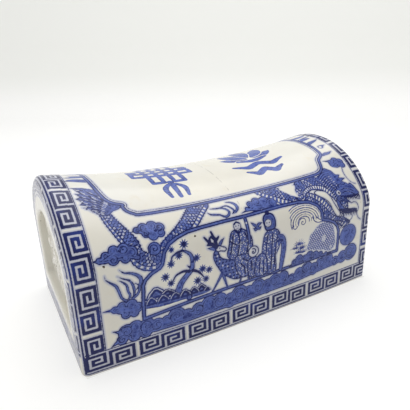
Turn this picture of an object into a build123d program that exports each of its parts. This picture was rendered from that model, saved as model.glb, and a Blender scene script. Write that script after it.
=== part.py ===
from build123d import *
import os
from math import atan2, cos, sin, sqrt

# A hollow porcelain pillow, in millimetres. The origin is the centre of the base, +X runs along the
# length to the right, +Y to the back and +Z up. The walls are made as an outer form less an inner
# form, and every other piece is cut exactly to them.

os.makedirs("parts", exist_ok=True)

# Outer form
body_length = 300.0
end_width = 164.0
waist_swell = 3.5
end_height = 141.0
saddle_dip = 15.0
shoulder_radius = 32.0
waist_crown_rise = 14.0
edge_rounding = 6.0

# Walls
wall_thickness = 7.0
base_thickness = 8.0

# Recess in each end
recess_depth = 8.0
recess_floor_thickness = 6.0
recess_side_margin = 26.0
recess_top_margin = 33.0
recess_sill_height = 28.0
recess_shoulder_radius = 30.0
recess_crown_rise = 9.0
recess_corner_radius = 5.0
recess_lip_rounding = 2.5

# Relief on the recess floor
relief_ground_thickness = 1.0
relief_ground_diameter = 52.0
petal_count = 8
boss_radius = 6.0
boss_height = 2.4
inner_petal_length = 15.0
inner_petal_width = 8.0
inner_petal_height = 2.0
outer_petal_length = 18.0
outer_petal_width = 10.0
outer_petal_height = 1.4
petal_edge_rounding = 0.5
petal_overlap = 2.0
side_leaf_length = 24.0
side_leaf_width = 11.0
side_leaf_fan = 30.0
small_leaf_length = 14.0
small_leaf_width = 8.0
small_leaf_fan = 24.0
leaf_height = 2.2
leaf_overlap = 4.0

# Joints inside
coil_radius = 7.0
seam_strip_width = 18.0
seam_strip_thickness = 2.5

# Firing vent in the base
vent_diameter = 9.0
vent_offset = 45.0

# Sizes that follow from them
half_length = body_length / 2
end_half_width = end_width / 2
waist_height = end_height - saddle_dip
side_height = waist_height - waist_crown_rise - shoulder_radius
saddle_radius = (half_length**2 + saddle_dip**2) / (2 * saddle_dip)
end_panel_thickness = recess_depth + recess_floor_thickness
joint_x = half_length - end_panel_thickness
ground_radius = relief_ground_diameter / 2
relief_centre_height = (recess_sill_height + end_height - recess_top_margin) / 2
station_count = 7
section_steps = [2 * i / (station_count - 1) - 1 for i in range(station_count)]
stations = [half_length * step for step in section_steps]
coil_stations = [joint_x * step for step in section_steps]


def half_width_at(x):
    """Half the outer width at station x: the plan swells a little towards mid-length."""
    return end_half_width + waist_swell * (1 - (x / half_length) ** 2)


def height_at(x):
    """Outer height at station x: the top line is one long circular arc."""
    return waist_height + saddle_radius - sqrt(saddle_radius**2 - x**2)


def arch_face(x, half_width, height, straight_top, shoulder, bottom):
    """An arch in the plane at x: two straight sides, two shoulder arcs and one crown arc, all tangent."""
    rise = height - straight_top
    reach = half_width - shoulder
    crown = (reach**2 + rise**2 - shoulder**2) / (2 * (rise - shoulder))
    turn = atan2(straight_top - (height - crown), reach)
    mid_point = (reach + shoulder * cos(turn / 2), straight_top + shoulder * sin(turn / 2))
    end_point = (reach + shoulder * cos(turn), straight_top + shoulder * sin(turn))
    plane = Plane(origin=(x, 0, 0), x_dir=(0, 1, 0), z_dir=(1, 0, 0))
    with BuildSketch(plane) as sketch:
        with BuildLine():
            Line((-half_width, bottom), (-half_width, straight_top))
            ThreePointArc(
                (-half_width, straight_top),
                (-mid_point[0], mid_point[1]),
                (-end_point[0], end_point[1]),
            )
            ThreePointArc((-end_point[0], end_point[1]), (0, height), end_point)
            ThreePointArc(end_point, mid_point, (half_width, straight_top))
            Line((half_width, straight_top), (half_width, bottom))
            Line((half_width, bottom), (-half_width, bottom))
        make_face()
    return sketch.sketch


def wall_section(x, inset):
    """The pillow's section at station x, drawn in from the outer form by inset, with legs to trim level."""
    return arch_face(
        x,
        half_width_at(x) - inset,
        height_at(x) - inset,
        side_height,
        shoulder_radius - inset,
        -base_thickness,
    )


def slice_between(low, high):
    """A block that keeps everything between two stations."""
    size = 4 * body_length
    return Pos((low + high) / 2, 0, 0) * Box(high - low, size, size)


def layer_between(low, high):
    """A block that keeps everything between two heights."""
    size = 4 * body_length
    return Pos(0, 0, (low + high) / 2) * Box(size, size, high - low)


def body_form(inset):
    """The whole form, drawn in by inset everywhere but at its ends, and trimmed flat at its foot."""
    return loft([wall_section(x, inset) for x in stations]) & layer_between(0, 2 * end_height)


def recess_section(x):
    """Outline of the recess in an end, at station x."""
    half_width = end_half_width - recess_side_margin
    height = end_height - recess_top_margin
    face = arch_face(
        x,
        half_width,
        height,
        height - recess_crown_rise - recess_shoulder_radius,
        recess_shoulder_radius,
        recess_sill_height,
    )
    corners = face.vertices().group_by(Axis.Z)[0]
    return fillet(corners, recess_corner_radius)


def leaf_sketch(length, width):
    """A pointed leaf along +X from the origin: two equal circular arcs that meet at both ends."""
    with BuildSketch() as sketch:
        with BuildLine():
            ThreePointArc((0, 0), (length / 2, width / 2), (length, 0))
            ThreePointArc((length, 0), (length / 2, -width / 2), (0, 0))
        make_face()
    return sketch.sketch


def raised(sketch, height):
    """A flat-backed relief element with a softened upper edge."""
    solid = extrude(sketch, height)
    return fillet(solid.edges().group_by(Axis.Z)[-1], petal_edge_rounding)


def ring_of(element, count, radius, first_angle=0.0):
    """Copies of an element that points along +X, spread evenly round the relief's centre."""
    return [Rot(0, 0, first_angle + 360 / count * i) * Pos(radius, 0, 0) * element for i in range(count)]


def relief_on_plane():
    """The moulded rosette with its leaves, lying on the XY plane: X across the end, Y up."""
    ground = extrude(Circle(ground_radius), relief_ground_thickness)
    lift = Pos(0, 0, relief_ground_thickness)
    boss = lift * raised(Circle(boss_radius), boss_height)
    inner_petal = lift * raised(Ellipse(inner_petal_length / 2, inner_petal_width / 2), inner_petal_height)
    outer_petal = lift * raised(Ellipse(outer_petal_length / 2, outer_petal_width / 2), outer_petal_height)
    side_leaf = raised(leaf_sketch(side_leaf_length, side_leaf_width), leaf_height)
    small_leaf = raised(leaf_sketch(small_leaf_length, small_leaf_width), leaf_height)
    root = ground_radius - leaf_overlap
    leaves = []
    for side_angle in (0, 180):
        for fan in (-side_leaf_fan, 0, side_leaf_fan):
            leaves.append(Rot(0, 0, side_angle + fan) * Pos(root, 0, 0) * side_leaf)
    for upright_angle in (90, 270):
        for fan in (-small_leaf_fan, 0, small_leaf_fan):
            leaves.append(Rot(0, 0, upright_angle + fan) * Pos(root, 0, 0) * small_leaf)
    outer_ring = ring_of(outer_petal, petal_count, ground_radius - outer_petal_length / 2, 180 / petal_count)
    inner_ring = ring_of(inner_petal, petal_count, boss_radius + inner_petal_length / 2 - petal_overlap)
    return ground.fuse(boss, *inner_ring, *outer_ring, *leaves)


# The pillow's outer and inner forms, and the hollow that they leave
outer_form = body_form(0)
inner_form = body_form(wall_thickness)
end_edges = [
    edge
    for edge in outer_form.edges()
    if abs(abs(edge.center().X) - half_length) < 0.01 and edge.center().Z > 0.01
]
rounded_form = fillet(end_edges, edge_rounding)
cavity = inner_form & layer_between(base_thickness, 2 * end_height) & slice_between(-joint_x, joint_x)
walls = outer_form - inner_form

# Both halves of the wall meet in a butt joint at mid-length
right_half_shell = walls & slice_between(0, joint_x)
left_half_shell = walls & slice_between(-joint_x, 0)

# The base fills the space between the walls and is flush with their feet
base_slab = inner_form & layer_between(0, base_thickness) & slice_between(-joint_x, joint_x)
base_slab -= Pos(vent_offset, 0, base_thickness / 2) * Cylinder(vent_diameter / 2, 2 * base_thickness)

# The right end panel carries the rounded outer edge; the left one is its mirror image
recess_floor_x = half_length - recess_depth
recess_block = extrude(recess_section(recess_floor_x), 2 * recess_depth)
right_end_panel = rounded_form & slice_between(joint_x, body_length)
right_end_panel -= recess_block
lip_edges = [
    edge
    for edge in right_end_panel.edges()
    if abs(edge.center().X - half_length) < 0.01
    and edge.bounding_box().max.Z < end_height - recess_top_margin / 2
    and edge.bounding_box().min.Z > recess_sill_height / 2
    and abs(edge.center().Y) < end_half_width - recess_side_margin / 2
]
right_end_panel = fillet(lip_edges, recess_lip_rounding)
left_end_panel = mirror(right_end_panel, about=Plane.YZ)

# The relief lies on the recess floor, centred between its sill and its crown
relief_plane = Plane(origin=(recess_floor_x, 0, relief_centre_height), x_dir=(0, 1, 0), z_dir=(1, 0, 0))
right_end_relief = relief_plane.location * relief_on_plane()
left_end_relief = mirror(right_end_relief, about=Plane.YZ)


def corner_coil_section(x, side):
    """Quarter disc of clay in the corner of the base and one long wall, side -1 at the front."""
    corner_y = side * (half_width_at(x) - wall_thickness)
    diagonal = coil_radius * sqrt(0.5)
    on_base = (corner_y - side * coil_radius, base_thickness)
    on_wall = (corner_y, base_thickness + coil_radius)
    between = (corner_y - side * diagonal, base_thickness + diagonal)
    with BuildSketch(Plane(origin=(x, 0, 0), x_dir=(0, 1, 0), z_dir=(1, 0, 0))) as sketch:
        with BuildLine():
            Line((corner_y, base_thickness), on_base)
            ThreePointArc(on_base, between, on_wall)
            Line(on_wall, (corner_y, base_thickness))
        make_face()
    return sketch.sketch


def corner_coil(side):
    """Coil of clay along the inner corner of the base and one long wall."""
    return loft([corner_coil_section(x, side) for x in coil_stations])


front_luting_coil = corner_coil(-1)
back_luting_coil = corner_coil(1)


def end_coil():
    """Coil of clay round the inside of the right end joint: over the arch and along the base."""
    arch = wall_section(joint_x, wall_thickness)
    arch_edges = [edge for edge in arch.edges() if edge.center().Z > 0.01]
    path = Wire(arch_edges)
    section = Plane(origin=path @ 0, z_dir=path % 0) * Circle(coil_radius)
    over_arch = sweep(section, path=path)
    along_base = Pos(joint_x, 0, base_thickness) * Rot(90, 0, 0) * Cylinder(coil_radius, 2 * end_width)
    return ((over_arch + along_base) & cavity) - front_luting_coil - back_luting_coil


right_luting_coil = end_coil()
left_luting_coil = mirror(right_luting_coil, about=Plane.YZ)

# The seam strip bridges the joint of the two halves on the inside, down to the base and its coils
strip_ring = inner_form - body_form(wall_thickness + seam_strip_thickness)
strip_span = slice_between(-seam_strip_width / 2, seam_strip_width / 2)
seam_strip = strip_ring & strip_span & cavity
seam_strip = seam_strip - front_luting_coil - back_luting_coil

nodes = {
    "left_half_shell": left_half_shell,
    "right_half_shell": right_half_shell,
    "seam_strip": seam_strip,
    "base_slab": base_slab,
    "left_end_panel": left_end_panel,
    "right_end_panel": right_end_panel,
    "left_end_relief": left_end_relief,
    "right_end_relief": right_end_relief,
    "front_luting_coil": front_luting_coil,
    "back_luting_coil": back_luting_coil,
    "left_luting_coil": left_luting_coil,
    "right_luting_coil": right_luting_coil,
}

for name, shape in nodes.items():
    export_step(shape, f"parts/{name}.step")
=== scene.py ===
import bpy
import numpy as np
from mathutils import Matrix, Vector


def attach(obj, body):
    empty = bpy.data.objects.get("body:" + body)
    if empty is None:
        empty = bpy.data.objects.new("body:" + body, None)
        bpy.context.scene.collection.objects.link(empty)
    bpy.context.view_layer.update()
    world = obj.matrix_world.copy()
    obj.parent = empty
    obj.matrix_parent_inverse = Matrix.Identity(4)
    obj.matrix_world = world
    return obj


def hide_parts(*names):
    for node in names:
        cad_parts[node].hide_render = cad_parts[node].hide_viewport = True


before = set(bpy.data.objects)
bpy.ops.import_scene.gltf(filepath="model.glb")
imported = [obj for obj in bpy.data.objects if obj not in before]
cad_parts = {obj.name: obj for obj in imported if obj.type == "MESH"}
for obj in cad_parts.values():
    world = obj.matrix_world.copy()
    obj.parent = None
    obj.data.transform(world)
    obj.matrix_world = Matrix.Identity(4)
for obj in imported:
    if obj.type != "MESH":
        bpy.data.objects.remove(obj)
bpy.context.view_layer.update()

# The painted wall. The pillow is slab-built porcelain: one arched wall runs from the foot of the front over
# the top to the foot of the back. It is pressed in two halves, luted at mid-length, painted in cobalt and
# dipped in clear glaze, so no joint shows outside. It is made here as three lengthwise strips.
HALF_LENGTH = 150.0
END_HALF_WIDTH = 82.0
WAIST_SWELL = 3.5
END_HEIGHT = 141.0
SADDLE_DIP = 15.0
STRAIGHT_HEIGHT = 80.0
SHOULDER_RADIUS = 32.0
WALL_THICKNESS = 7.0
END_JOINT = 136.0
FOOT_ROUNDING = 1.2
UNEVENNESS = 0.22
GRID = 0.6
STRIP_WIDTH = 125.0
INNER_STEP = 16


def wall_section(station):
    """Half width, height, crown radius and shoulder turn at a station, and the girth of the section. The plan
    swells by a parabola, the top line is a circular arc, and the crown arc is tangent to both shoulder arcs."""
    half_width = END_HALF_WIDTH + WAIST_SWELL * (1 - (station / HALF_LENGTH) ** 2)
    saddle = (HALF_LENGTH**2 + SADDLE_DIP**2) / (2 * SADDLE_DIP)
    height = END_HEIGHT - SADDLE_DIP + saddle - np.sqrt(saddle**2 - station**2)
    reach = half_width - SHOULDER_RADIUS
    rise = height - STRAIGHT_HEIGHT
    crown = (reach**2 + rise**2 - SHOULDER_RADIUS**2) / (2 * (rise - SHOULDER_RADIUS))
    turn = np.arctan2(STRAIGHT_HEIGHT - height + crown, reach)
    girth = 2 * (STRAIGHT_HEIGHT + SHOULDER_RADIUS * turn + crown * (np.pi / 2 - turn))
    return half_width, height, crown, turn, girth


def wall_point(station, along, inset):
    """Across and level on the wall, along being mm from the front foot over the top: a straight side, then
    the shoulder arc, then the crown arc, each drawn in by inset towards its own centre, and mirrored."""
    half_width, height, crown, turn, girth = wall_section(station)
    up = np.minimum(along, girth - along)
    corner = up - STRAIGHT_HEIGHT
    top = corner - SHOULDER_RADIUS * turn
    angle = np.where(top < 0, corner / SHOULDER_RADIUS, turn + top / crown)
    radius = np.where(top < 0, SHOULDER_RADIUS, crown) - inset
    across = np.where(top < 0, half_width - SHOULDER_RADIUS, 0) + radius * np.cos(angle)
    level = np.where(top < 0, STRAIGHT_HEIGHT, height - crown) + radius * np.sin(angle)
    across = np.where(corner < 0, half_width - inset, across)
    level = np.where(corner < 0, up, level)
    return np.where(along < girth / 2, -across, across), level


def foot_rounding(level):
    """How far a face draws in just above the foot: a quarter circle that rounds the edge it stands on."""
    below = np.clip(FOOT_ROUNDING - level, 0, FOOT_ROUNDING)
    return FOOT_ROUNDING - np.sqrt(FOOT_ROUNDING**2 - below**2)


def hand_unevenness(station, along):
    """How far the wall lies below its true form, as beaten clay does: two slow waves multiplied, and a third
    across them, between nothing and a fraction of a millimetre."""
    wave = np.sin(station / 31 + 0.6) * np.sin(along / 23 + 1.1) + 0.6 * np.sin(station / 17 + along / 41)
    return UNEVENNESS * (1.6 + wave) / 1.6


def glazed_inset(station, along):
    """How far the glazed face lies inside the true form: the clay's unevenness and the rounded foot."""
    up = np.minimum(along, wall_section(station)[4] - along)
    return hand_unevenness(station, along) + foot_rounding(up)


def grid_faces(rows, columns, first=0):
    """Quads of a grid whose points run along the columns first, each with its corners turning the same way."""
    start = first + np.arange(rows - 1)[:, None] * columns + np.arange(columns - 1)
    return np.stack([start, start + 1, start + columns + 1, start + columns], -1).reshape(-1, 4)


def rim_of(rows, columns, first=0):
    """Indices once round the edge of a grid, in the same sense as its quads."""
    index = first + np.arange(rows * columns).reshape(rows, columns)
    return np.concatenate([index[0, :-1], index[:-1, -1], index[-1, :0:-1], index[:0:-1, 0]])


def stitch(fine, coarse):
    """Triangles between two closed rims that start together, where the fine one has more points: each fine
    edge meets its nearest coarse point, and each coarse edge the fine point where the nearest one changes."""
    nearest = np.floor(np.arange(len(fine)) * len(coarse) / len(fine) + 0.5).astype(int)
    following = np.append(nearest[1:], len(coarse))
    after = np.roll(fine, -1)
    fans = np.stack([after, fine, coarse[nearest % len(coarse)]], -1)
    change = np.nonzero(following > nearest)[0]
    near, far = coarse[nearest[change] % len(coarse)], coarse[following[change] % len(coarse)]
    return np.concatenate([fans, np.stack([after[change], near, far], -1)])


def make_piece(name, points, face_sets, smooth_sets, values=None):
    """A mesh object from points in mm and sets of quads or triangles, with a flag for each set that says
    whether it is shaded smooth. Three numbers for each point go into the attribute called cobalt."""
    mesh = bpy.data.meshes.new(name)
    corners = np.concatenate([faces.ravel() for faces in face_sets])
    sizes = np.concatenate([np.full(len(faces), faces.shape[1]) for faces in face_sets])
    smooth = np.concatenate([np.full(len(faces), flag) for faces, flag in zip(face_sets, smooth_sets)])
    mesh.vertices.add(len(points))
    mesh.vertices.foreach_set("co", (points / 1000).astype(np.float32).ravel())
    mesh.loops.add(len(corners))
    mesh.loops.foreach_set("vertex_index", corners.astype(np.int32))
    mesh.polygons.add(len(sizes))
    mesh.polygons.foreach_set("loop_start", (np.cumsum(sizes) - sizes).astype(np.int32))
    mesh.polygons.foreach_set("use_smooth", smooth)
    if values is not None:
        layer = mesh.attributes.new("cobalt", "FLOAT_VECTOR", "POINT")
        layer.data.foreach_set("vector", values.astype(np.float32).ravel())
    mesh.update(calc_edges=True)
    edge_of_corner = np.empty(len(corners), np.int32)
    mesh.loops.foreach_get("edge_index", edge_of_corner)
    beside_flat = np.bincount(edge_of_corner, weights=~np.repeat(smooth, sizes), minlength=len(mesh.edges)) > 0
    mesh.attributes.new("sharp_edge", "BOOLEAN", "EDGE").data.foreach_set("value", beside_flat)
    piece = bpy.data.objects.new(name, mesh)
    bpy.context.scene.collection.objects.link(piece)
    return piece


station_count = int(2 * END_JOINT / GRID / INNER_STEP) * INNER_STEP + 1
stations = np.linspace(-END_JOINT, END_JOINT, station_count)
row_count = int(STRIP_WIDTH / GRID / INNER_STEP) * INNER_STEP + 1
foot_rows = FOOT_ROUNDING * (1 - np.cos(np.linspace(0, np.pi / 2, 5)[:-1]))
front_rows = np.append(foot_rows, np.linspace(FOOT_ROUNDING, STRIP_WIDTH, row_count - 4))


def strip_rows(name):
    """The rows of a strip, each given by mm to add to a share of the section's girth."""
    if name == "front_glaze":
        return front_rows, np.zeros(row_count)
    if name == "back_glaze":
        return -front_rows[::-1], np.ones(row_count)
    share = np.linspace(0, 1, row_count)
    return STRIP_WIDTH * (1 - 2 * share), share


def rows_at(rows, station):
    """How far from the front foot each row lies at the given stations."""
    return rows[0][:, None] + rows[1][:, None] * wall_section(station)[4]


def make_strip(name, paint):
    """One lengthwise strip of the wall: a fine outer surface, a coarse inner one a wall's thickness below it,
    and the cut edges between them."""
    rows = rows_at(strip_rows(name), stations)
    station = np.broadcast_to(stations, rows.shape)
    outer = np.stack([station, *wall_point(station, rows, glazed_inset(station, rows))], -1)
    across, level = wall_point(station, rows, WALL_THICKNESS)
    inner = np.stack([station, across, level], -1)[::INNER_STEP, ::INNER_STEP]
    count = rows.size
    outside = grid_faces(*outer.shape[:2])
    inside = grid_faces(*inner.shape[:2], count)[:, ::-1]
    edges = stitch(rim_of(*outer.shape[:2]), rim_of(*inner.shape[:2], count))
    points = np.concatenate([outer.reshape(-1, 3), inner.reshape(-1, 3)])
    values = np.tile([-REACH, -REACH, 0.5], (len(points), 1))
    values[:count] = paint(station, rows).reshape(-1, 3)
    return make_piece(name, points, [outside, inside, edges], [True, False, False], values)


# The painting. It was printed from an engraved sheet and touched up with a brush: a fret border, a field with
# a dragon and clouds round the plain top, and a framed scene low in the middle. It is drawn here in the
# sheet's own units, fifths of a millimetre across from the left and down from SHEET_TOP.
SHEET_SCALE = 5.0
SHEET_TOP = 190.0
SHEET_CENTRE = 153.7
REACH = 4.0
IRON = 3.0


def on_sheet(points):
    """Places in mm from places read in the drawing's own units, fifths of a millimetre across and down."""
    points = np.array(points, float)
    points[..., 0] /= SHEET_SCALE
    points[..., 1] = SHEET_TOP - points[..., 1] / SHEET_SCALE
    return points


def smooth_path(points, closed=False, spacing=1.2):
    """A smooth curve through points: between each pair of neighbours a cubic, whose slope at a point is half
    the step from the point before it to the point after it."""
    p = np.asarray(points, float)
    if closed:
        p = np.vstack([p[-1], p, p[0], p[1]])
    else:
        p = np.vstack([2 * p[0] - p[1], p, 2 * p[-1] - p[-2]])
    runs = []
    for a, b, c, d in zip(p[:-3], p[1:-2], p[2:-1], p[3:]):
        steps = max(2, int(np.ceil(np.hypot(*(c - b)[:2]) / spacing)))
        t = np.arange(steps)[:, None] / steps
        runs.append(b + (c - a) / 2 * t + (a - 2.5 * b + 2 * c - d / 2) * t**2 + (1.5 * (b - c) + (d - a) / 2) * t**3)
    if not closed:
        runs.append(p[-2:-1])
    return np.vstack(runs)


class Painting:
    """Cobalt on a stretch of wall. line and wash say how many mm deep each point lies inside a dark line or a
    wash, negative outside them, and tone says how strong the wash is there, from 0 to 1."""

    def __init__(self, x, s):
        self.x, self.s = x.ravel(), s.ravel()
        self.line = np.full(self.x.size, -REACH)
        self.wash = np.full(self.x.size, -REACH)
        self.tone = np.full(self.x.size, 0.5)

    def near(self, points, margin):
        low, high = np.min(points, 0) - margin, np.max(points, 0) + margin
        return np.nonzero((self.x > low[0]) & (self.x < high[0]) & (self.s > low[1]) & (self.s < high[1]))[0]

    def tint(self, where, depth, tone):
        """Adds to the wash and leaves what is there."""
        self.tone[where] = np.where(depth > -0.3, tone, self.tone[where])
        self.wash[where] = np.maximum(self.wash[where], depth)

    def lay(self, where, depth, tone=0.5, outline=0.8):
        """Lays a wash over what is there, with a dark outline just inside its edge."""
        self.spare(where, depth)
        self.tint(where, depth, tone)
        if outline:
            self.rule(where, outline / 2 - np.abs(depth - outline / 2))

    def rule(self, where, depth):
        """Adds a dark line."""
        self.line[where] = np.maximum(self.line[where], depth)

    def spare(self, where, depth):
        """Leaves the body bare of lines and washes."""
        self.line[where] = np.minimum(self.line[where], -depth)
        self.wash[where] = np.minimum(self.wash[where], -depth)

    def along(self, path, half):
        """Where the wall is near a path, and there the distance from it, the place along it, the side of it
        (1 on the left) and the half width there."""
        where = self.near(path, half.max() + REACH)
        x, s = self.x[where], self.s[where]
        best = np.full(where.size, 1e9)
        far, place, side, radius = (np.zeros(where.size) for _ in range(4))
        run = 0.0
        for a, b, ra, rb in zip(path[:-1], path[1:], half[:-1], half[1:]):
            step = b - a
            length = np.hypot(*step) + 1e-9
            t = np.clip(((x - a[0]) * step[0] + (s - a[1]) * step[1]) / length**2, 0, 1)
            dx, ds = x - a[0] - t * step[0], s - a[1] - t * step[1]
            away = np.hypot(dx, ds)
            r = ra + (rb - ra) * t
            closer = away - r < best
            best[closer] = (away - r)[closer]
            far[closer] = away[closer]
            place[closer] = (run + t * length)[closer]
            side[closer] = np.sign(step[0] * ds - step[1] * dx)[closer]
            radius[closer] = r[closer]
            run += length
        return where, far, place, side, radius

    def stroke(self, points, width, curved=True, closed=False):
        """Depth inside a brush stroke along a path, whose width may change along it."""
        widths = np.atleast_1d(np.asarray(width, float))
        widths = np.interp(np.linspace(0, 1, len(points)), np.linspace(0, 1, len(widths)), widths)
        path = np.column_stack([points, widths / 2])
        if curved:
            path = smooth_path(path, closed)
        if closed:
            path = np.vstack([path, path[:1]])
        where, far, _, _, radius = self.along(path[:, :2], path[:, 2])
        return where, np.clip(radius - far, -REACH, None)

    def patch(self, points, curved=True):
        """Depth inside a closed outline."""
        path = smooth_path(points, closed=True) if curved else np.asarray(points, float)
        where = self.near(path, REACH)
        x, s = self.x[where], self.s[where]
        away = np.full(where.size, 1e9)
        inside = np.zeros(where.size, bool)
        for a, b in zip(path, np.roll(path, -1, 0)):
            step = b - a
            t = np.clip(((x - a[0]) * step[0] + (s - a[1]) * step[1]) / (step @ step + 1e-12), 0, 1)
            away = np.minimum(away, np.hypot(x - a[0] - t * step[0], s - a[1] - t * step[1]))
            if a[1] != b[1]:
                inside ^= ((a[1] > s) != (b[1] > s)) & (x < a[0] + (s - a[1]) / step[1] * step[0])
        return where, np.clip(np.where(inside, away, -away), -REACH, None)

    def join(self, *forms):
        """Depth inside the nearest of several forms, each given by its points and depths."""
        depth = np.full(self.x.size, -REACH)
        for where, value in forms:
            depth[where] = np.maximum(depth[where], value)
        where = np.unique(np.concatenate([where for where, _ in forms]))
        return where, depth[where]

    def disc(self, centre, radius):
        """Depth inside a disc."""
        centre = np.asarray(centre, float)
        where = self.near(centre[None], radius + REACH)
        return where, np.clip(radius - np.hypot(self.x[where] - centre[0], self.s[where] - centre[1]), -REACH, None)


def fret_depth(u, v, half):
    """Depth inside the fret at u along, nine to a repeat, and v across, in steps of its grid. A repeat is two
    square spirals that share a bar, the second one being the first turned half round. half is half a bar, in
    steps, and the gap before the next repeat is a third of a step wider than the gaps inside it."""
    u = (u * 28 / 27 + 0.5) % (28 / 3) - 0.5
    first = [(2, 2), (1, 2), (1, 1), (3, 1), (3, 3), (0, 3), (0, 0), (4, 0)]
    corners = first + [(8 - a, 3 - b) for a, b in first[::-1]]
    depth = np.full(u.shape, -9.0)
    for (a, b), (c, d) in zip(corners[:-1], corners[1:]):
        beyond = np.maximum(np.abs(u - (a + c) / 2) - abs(c - a) / 2, np.abs(v - (b + d) / 2) - abs(d - b) / 2)
        depth = np.maximum(depth, half - beyond)
    return depth


def spiral(cobalt, centre, radius, turns, start, width=0.8, way=1):
    """A spiral line in to a centre, its radius growing evenly with its angle."""
    angle = np.linspace(0.3, turns * 2 * np.pi, int(9 * turns) + 4)
    grow = radius * angle / angle[-1]
    x, y = centre
    path = np.column_stack([x + grow * np.cos(start + way * angle), y + grow * np.sin(start + way * angle)])
    cobalt.rule(*cobalt.stroke(path, width))


def cloud(cobalt, lobes, tails=(), tone=0.5, curls=1, contour=2.3):
    """A scalloped cloud: round lobes, tails drawn out to points, a dark outline, a fainter contour inside it
    and a curl in some of the lobes."""
    centres = on_sheet([lobe[:2] for lobe in lobes])
    radii = [lobe[2] / SHEET_SCALE for lobe in lobes]
    forms = [cobalt.disc(centre, radius) for centre, radius in zip(centres, radii)]
    for tail in tails:
        forms.append(cobalt.stroke(on_sheet([p[:2] for p in tail]), [p[2] / SHEET_SCALE for p in tail]))
    where, depth = cobalt.join(*forms)
    cobalt.lay(where, depth, tone, 0.9)
    cobalt.rule(where, 0.28 - np.abs(depth - contour) - 0.12 * np.sin(cobalt.x[where] / 1.7))
    for i, (centre, radius) in enumerate(zip(centres, radii)):
        if curls and i % curls == 0 and radius > 2.8:
            spiral(cobalt, centre, radius * 0.8, 1.4, 1.9 * i, 0.75, 1 - 2 * (i // curls % 2))


def leaf(cobalt, points, widths, tone=0.5, vein=True):
    """A leaf or flame: one full stroke drawn out to a point, with an outline and a line along it."""
    path = on_sheet(points)
    cobalt.lay(*cobalt.stroke(path, np.asarray(widths, float) / SHEET_SCALE), tone, 0.7)
    if vein:
        cobalt.rule(*cobalt.stroke(path[:-1], 0.55))


def serpent(cobalt, points, belly, tone=0.45, plate=3.4, edge_share=0.35, scale=3.0):
    """A stretch of the dragon: points give its middle line and width. Scales in offset rows, each with a dark
    rim and a pale fleck, cover its back, and pale plates with dark gaps cross its belly, which is on the
    left of its way for 1 and on the right for -1."""
    half = [p[2] / SHEET_SCALE / 2 for p in points]
    path = smooth_path(np.column_stack([on_sheet([p[:2] for p in points]), half]))
    where, far, place, side, radius = cobalt.along(path[:, :2], path[:, 2])
    on_back = side != belly
    crest = 1.0 * np.abs((place / 2.6) % 1 * 2 - 1)
    scallop = 0.7 * np.sqrt(np.clip(1 - ((place / plate) % 1 * 2 - 1) ** 2, 0, 1))
    depth = np.clip(radius - far + np.where(on_back, crest, scallop) - 0.7, -REACH, None)
    cobalt.lay(where, depth, tone, 1.0)
    across = far * np.where(on_back, 1, -1)
    edge = -edge_share * radius
    rib = np.abs((place / plate) % 1 - 0.5) * plate
    taper = np.clip((edge - across) / ((1 - edge_share) * radius), 0, 1)
    bare = np.minimum(np.minimum(rib - 0.72 - 0.45 * taper, edge - 0.5 - across), depth - 1.2)
    cobalt.spare(where, np.minimum(bare, 1.0))
    row = np.floor((across - edge) / (0.8 * scale))
    v = (across - edge) / (0.8 * scale) - row - 0.5
    u = (place / scale + 0.5 * (row % 2)) % 1 - 0.5
    away = np.hypot((u + 0.2) * scale, 0.8 * v * scale)
    fleck = np.minimum(np.minimum(0.42 - np.abs(away - 0.24 * scale), 0.55 - u), np.minimum(depth - 1.4, across - edge - 0.3))
    fleck = np.where(np.sin(place * 1.3 + row * 2.1) + np.sin(place * 0.37) > 0.1, fleck - 0.12, -1.0)
    cobalt.spare(where, fleck)
    rim = np.minimum(0.42 - np.abs(away - 0.5 * scale), np.minimum(across - edge, depth))
    cobalt.rule(where, rim)
    cobalt.rule(where, np.minimum(0.45 - np.abs(across - edge), depth))


def hair(cobalt, roots, tips, width=1.1, bend=0.18, dark=True):
    """Tapering strokes from roots to tips, each bent a little to one side; dark ones, or pale gaps."""
    for root, tip in zip(on_sheet(roots), on_sheet(tips)):
        step = tip - root
        middle = (root + tip) / 2 + bend * np.array([-step[1], step[0]])
        where, depth = cobalt.stroke([root, middle, tip], [width, width * 0.85, 0.25])
        (cobalt.rule if dark else cobalt.spare)(where, depth)


def cloud_band(cobalt):
    """The long bank of clouds under the scene."""
    lobes = [(185, 802, 36), (222, 792, 32), (165, 830, 24), (215, 828, 28), (268, 802, 36), (262, 828, 28),
             (312, 812, 32), (352, 804, 24), (396, 800, 42), (444, 812, 32), (496, 800, 34), (546, 794, 42),
             (596, 796, 42), (648, 808, 38), (696, 792, 44), (746, 802, 38), (796, 790, 42), (846, 800, 38),
             (890, 788, 40), (936, 782, 34), (985, 806, 28), (1032, 790, 32), (1078, 778, 36), (1122, 792, 34),
             (1172, 774, 38), (1214, 768, 34), (1262, 790, 26), (1312, 782, 34), (1368, 770, 46)]
    tails = [[(131, 782, 2), (150, 790, 14), (180, 800, 40)], [(119, 850, 2), (140, 838, 16), (180, 820, 40)],
             [(170, 812, 40), (300, 816, 52), (420, 818, 54), (560, 812, 56), (700, 812, 56), (860, 808, 54),
              (1000, 812, 40), (1150, 796, 46), (1280, 792, 38), (1350, 782, 44)]]
    cloud(cobalt, lobes, tails, 0.52, 2, 2.6)


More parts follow.
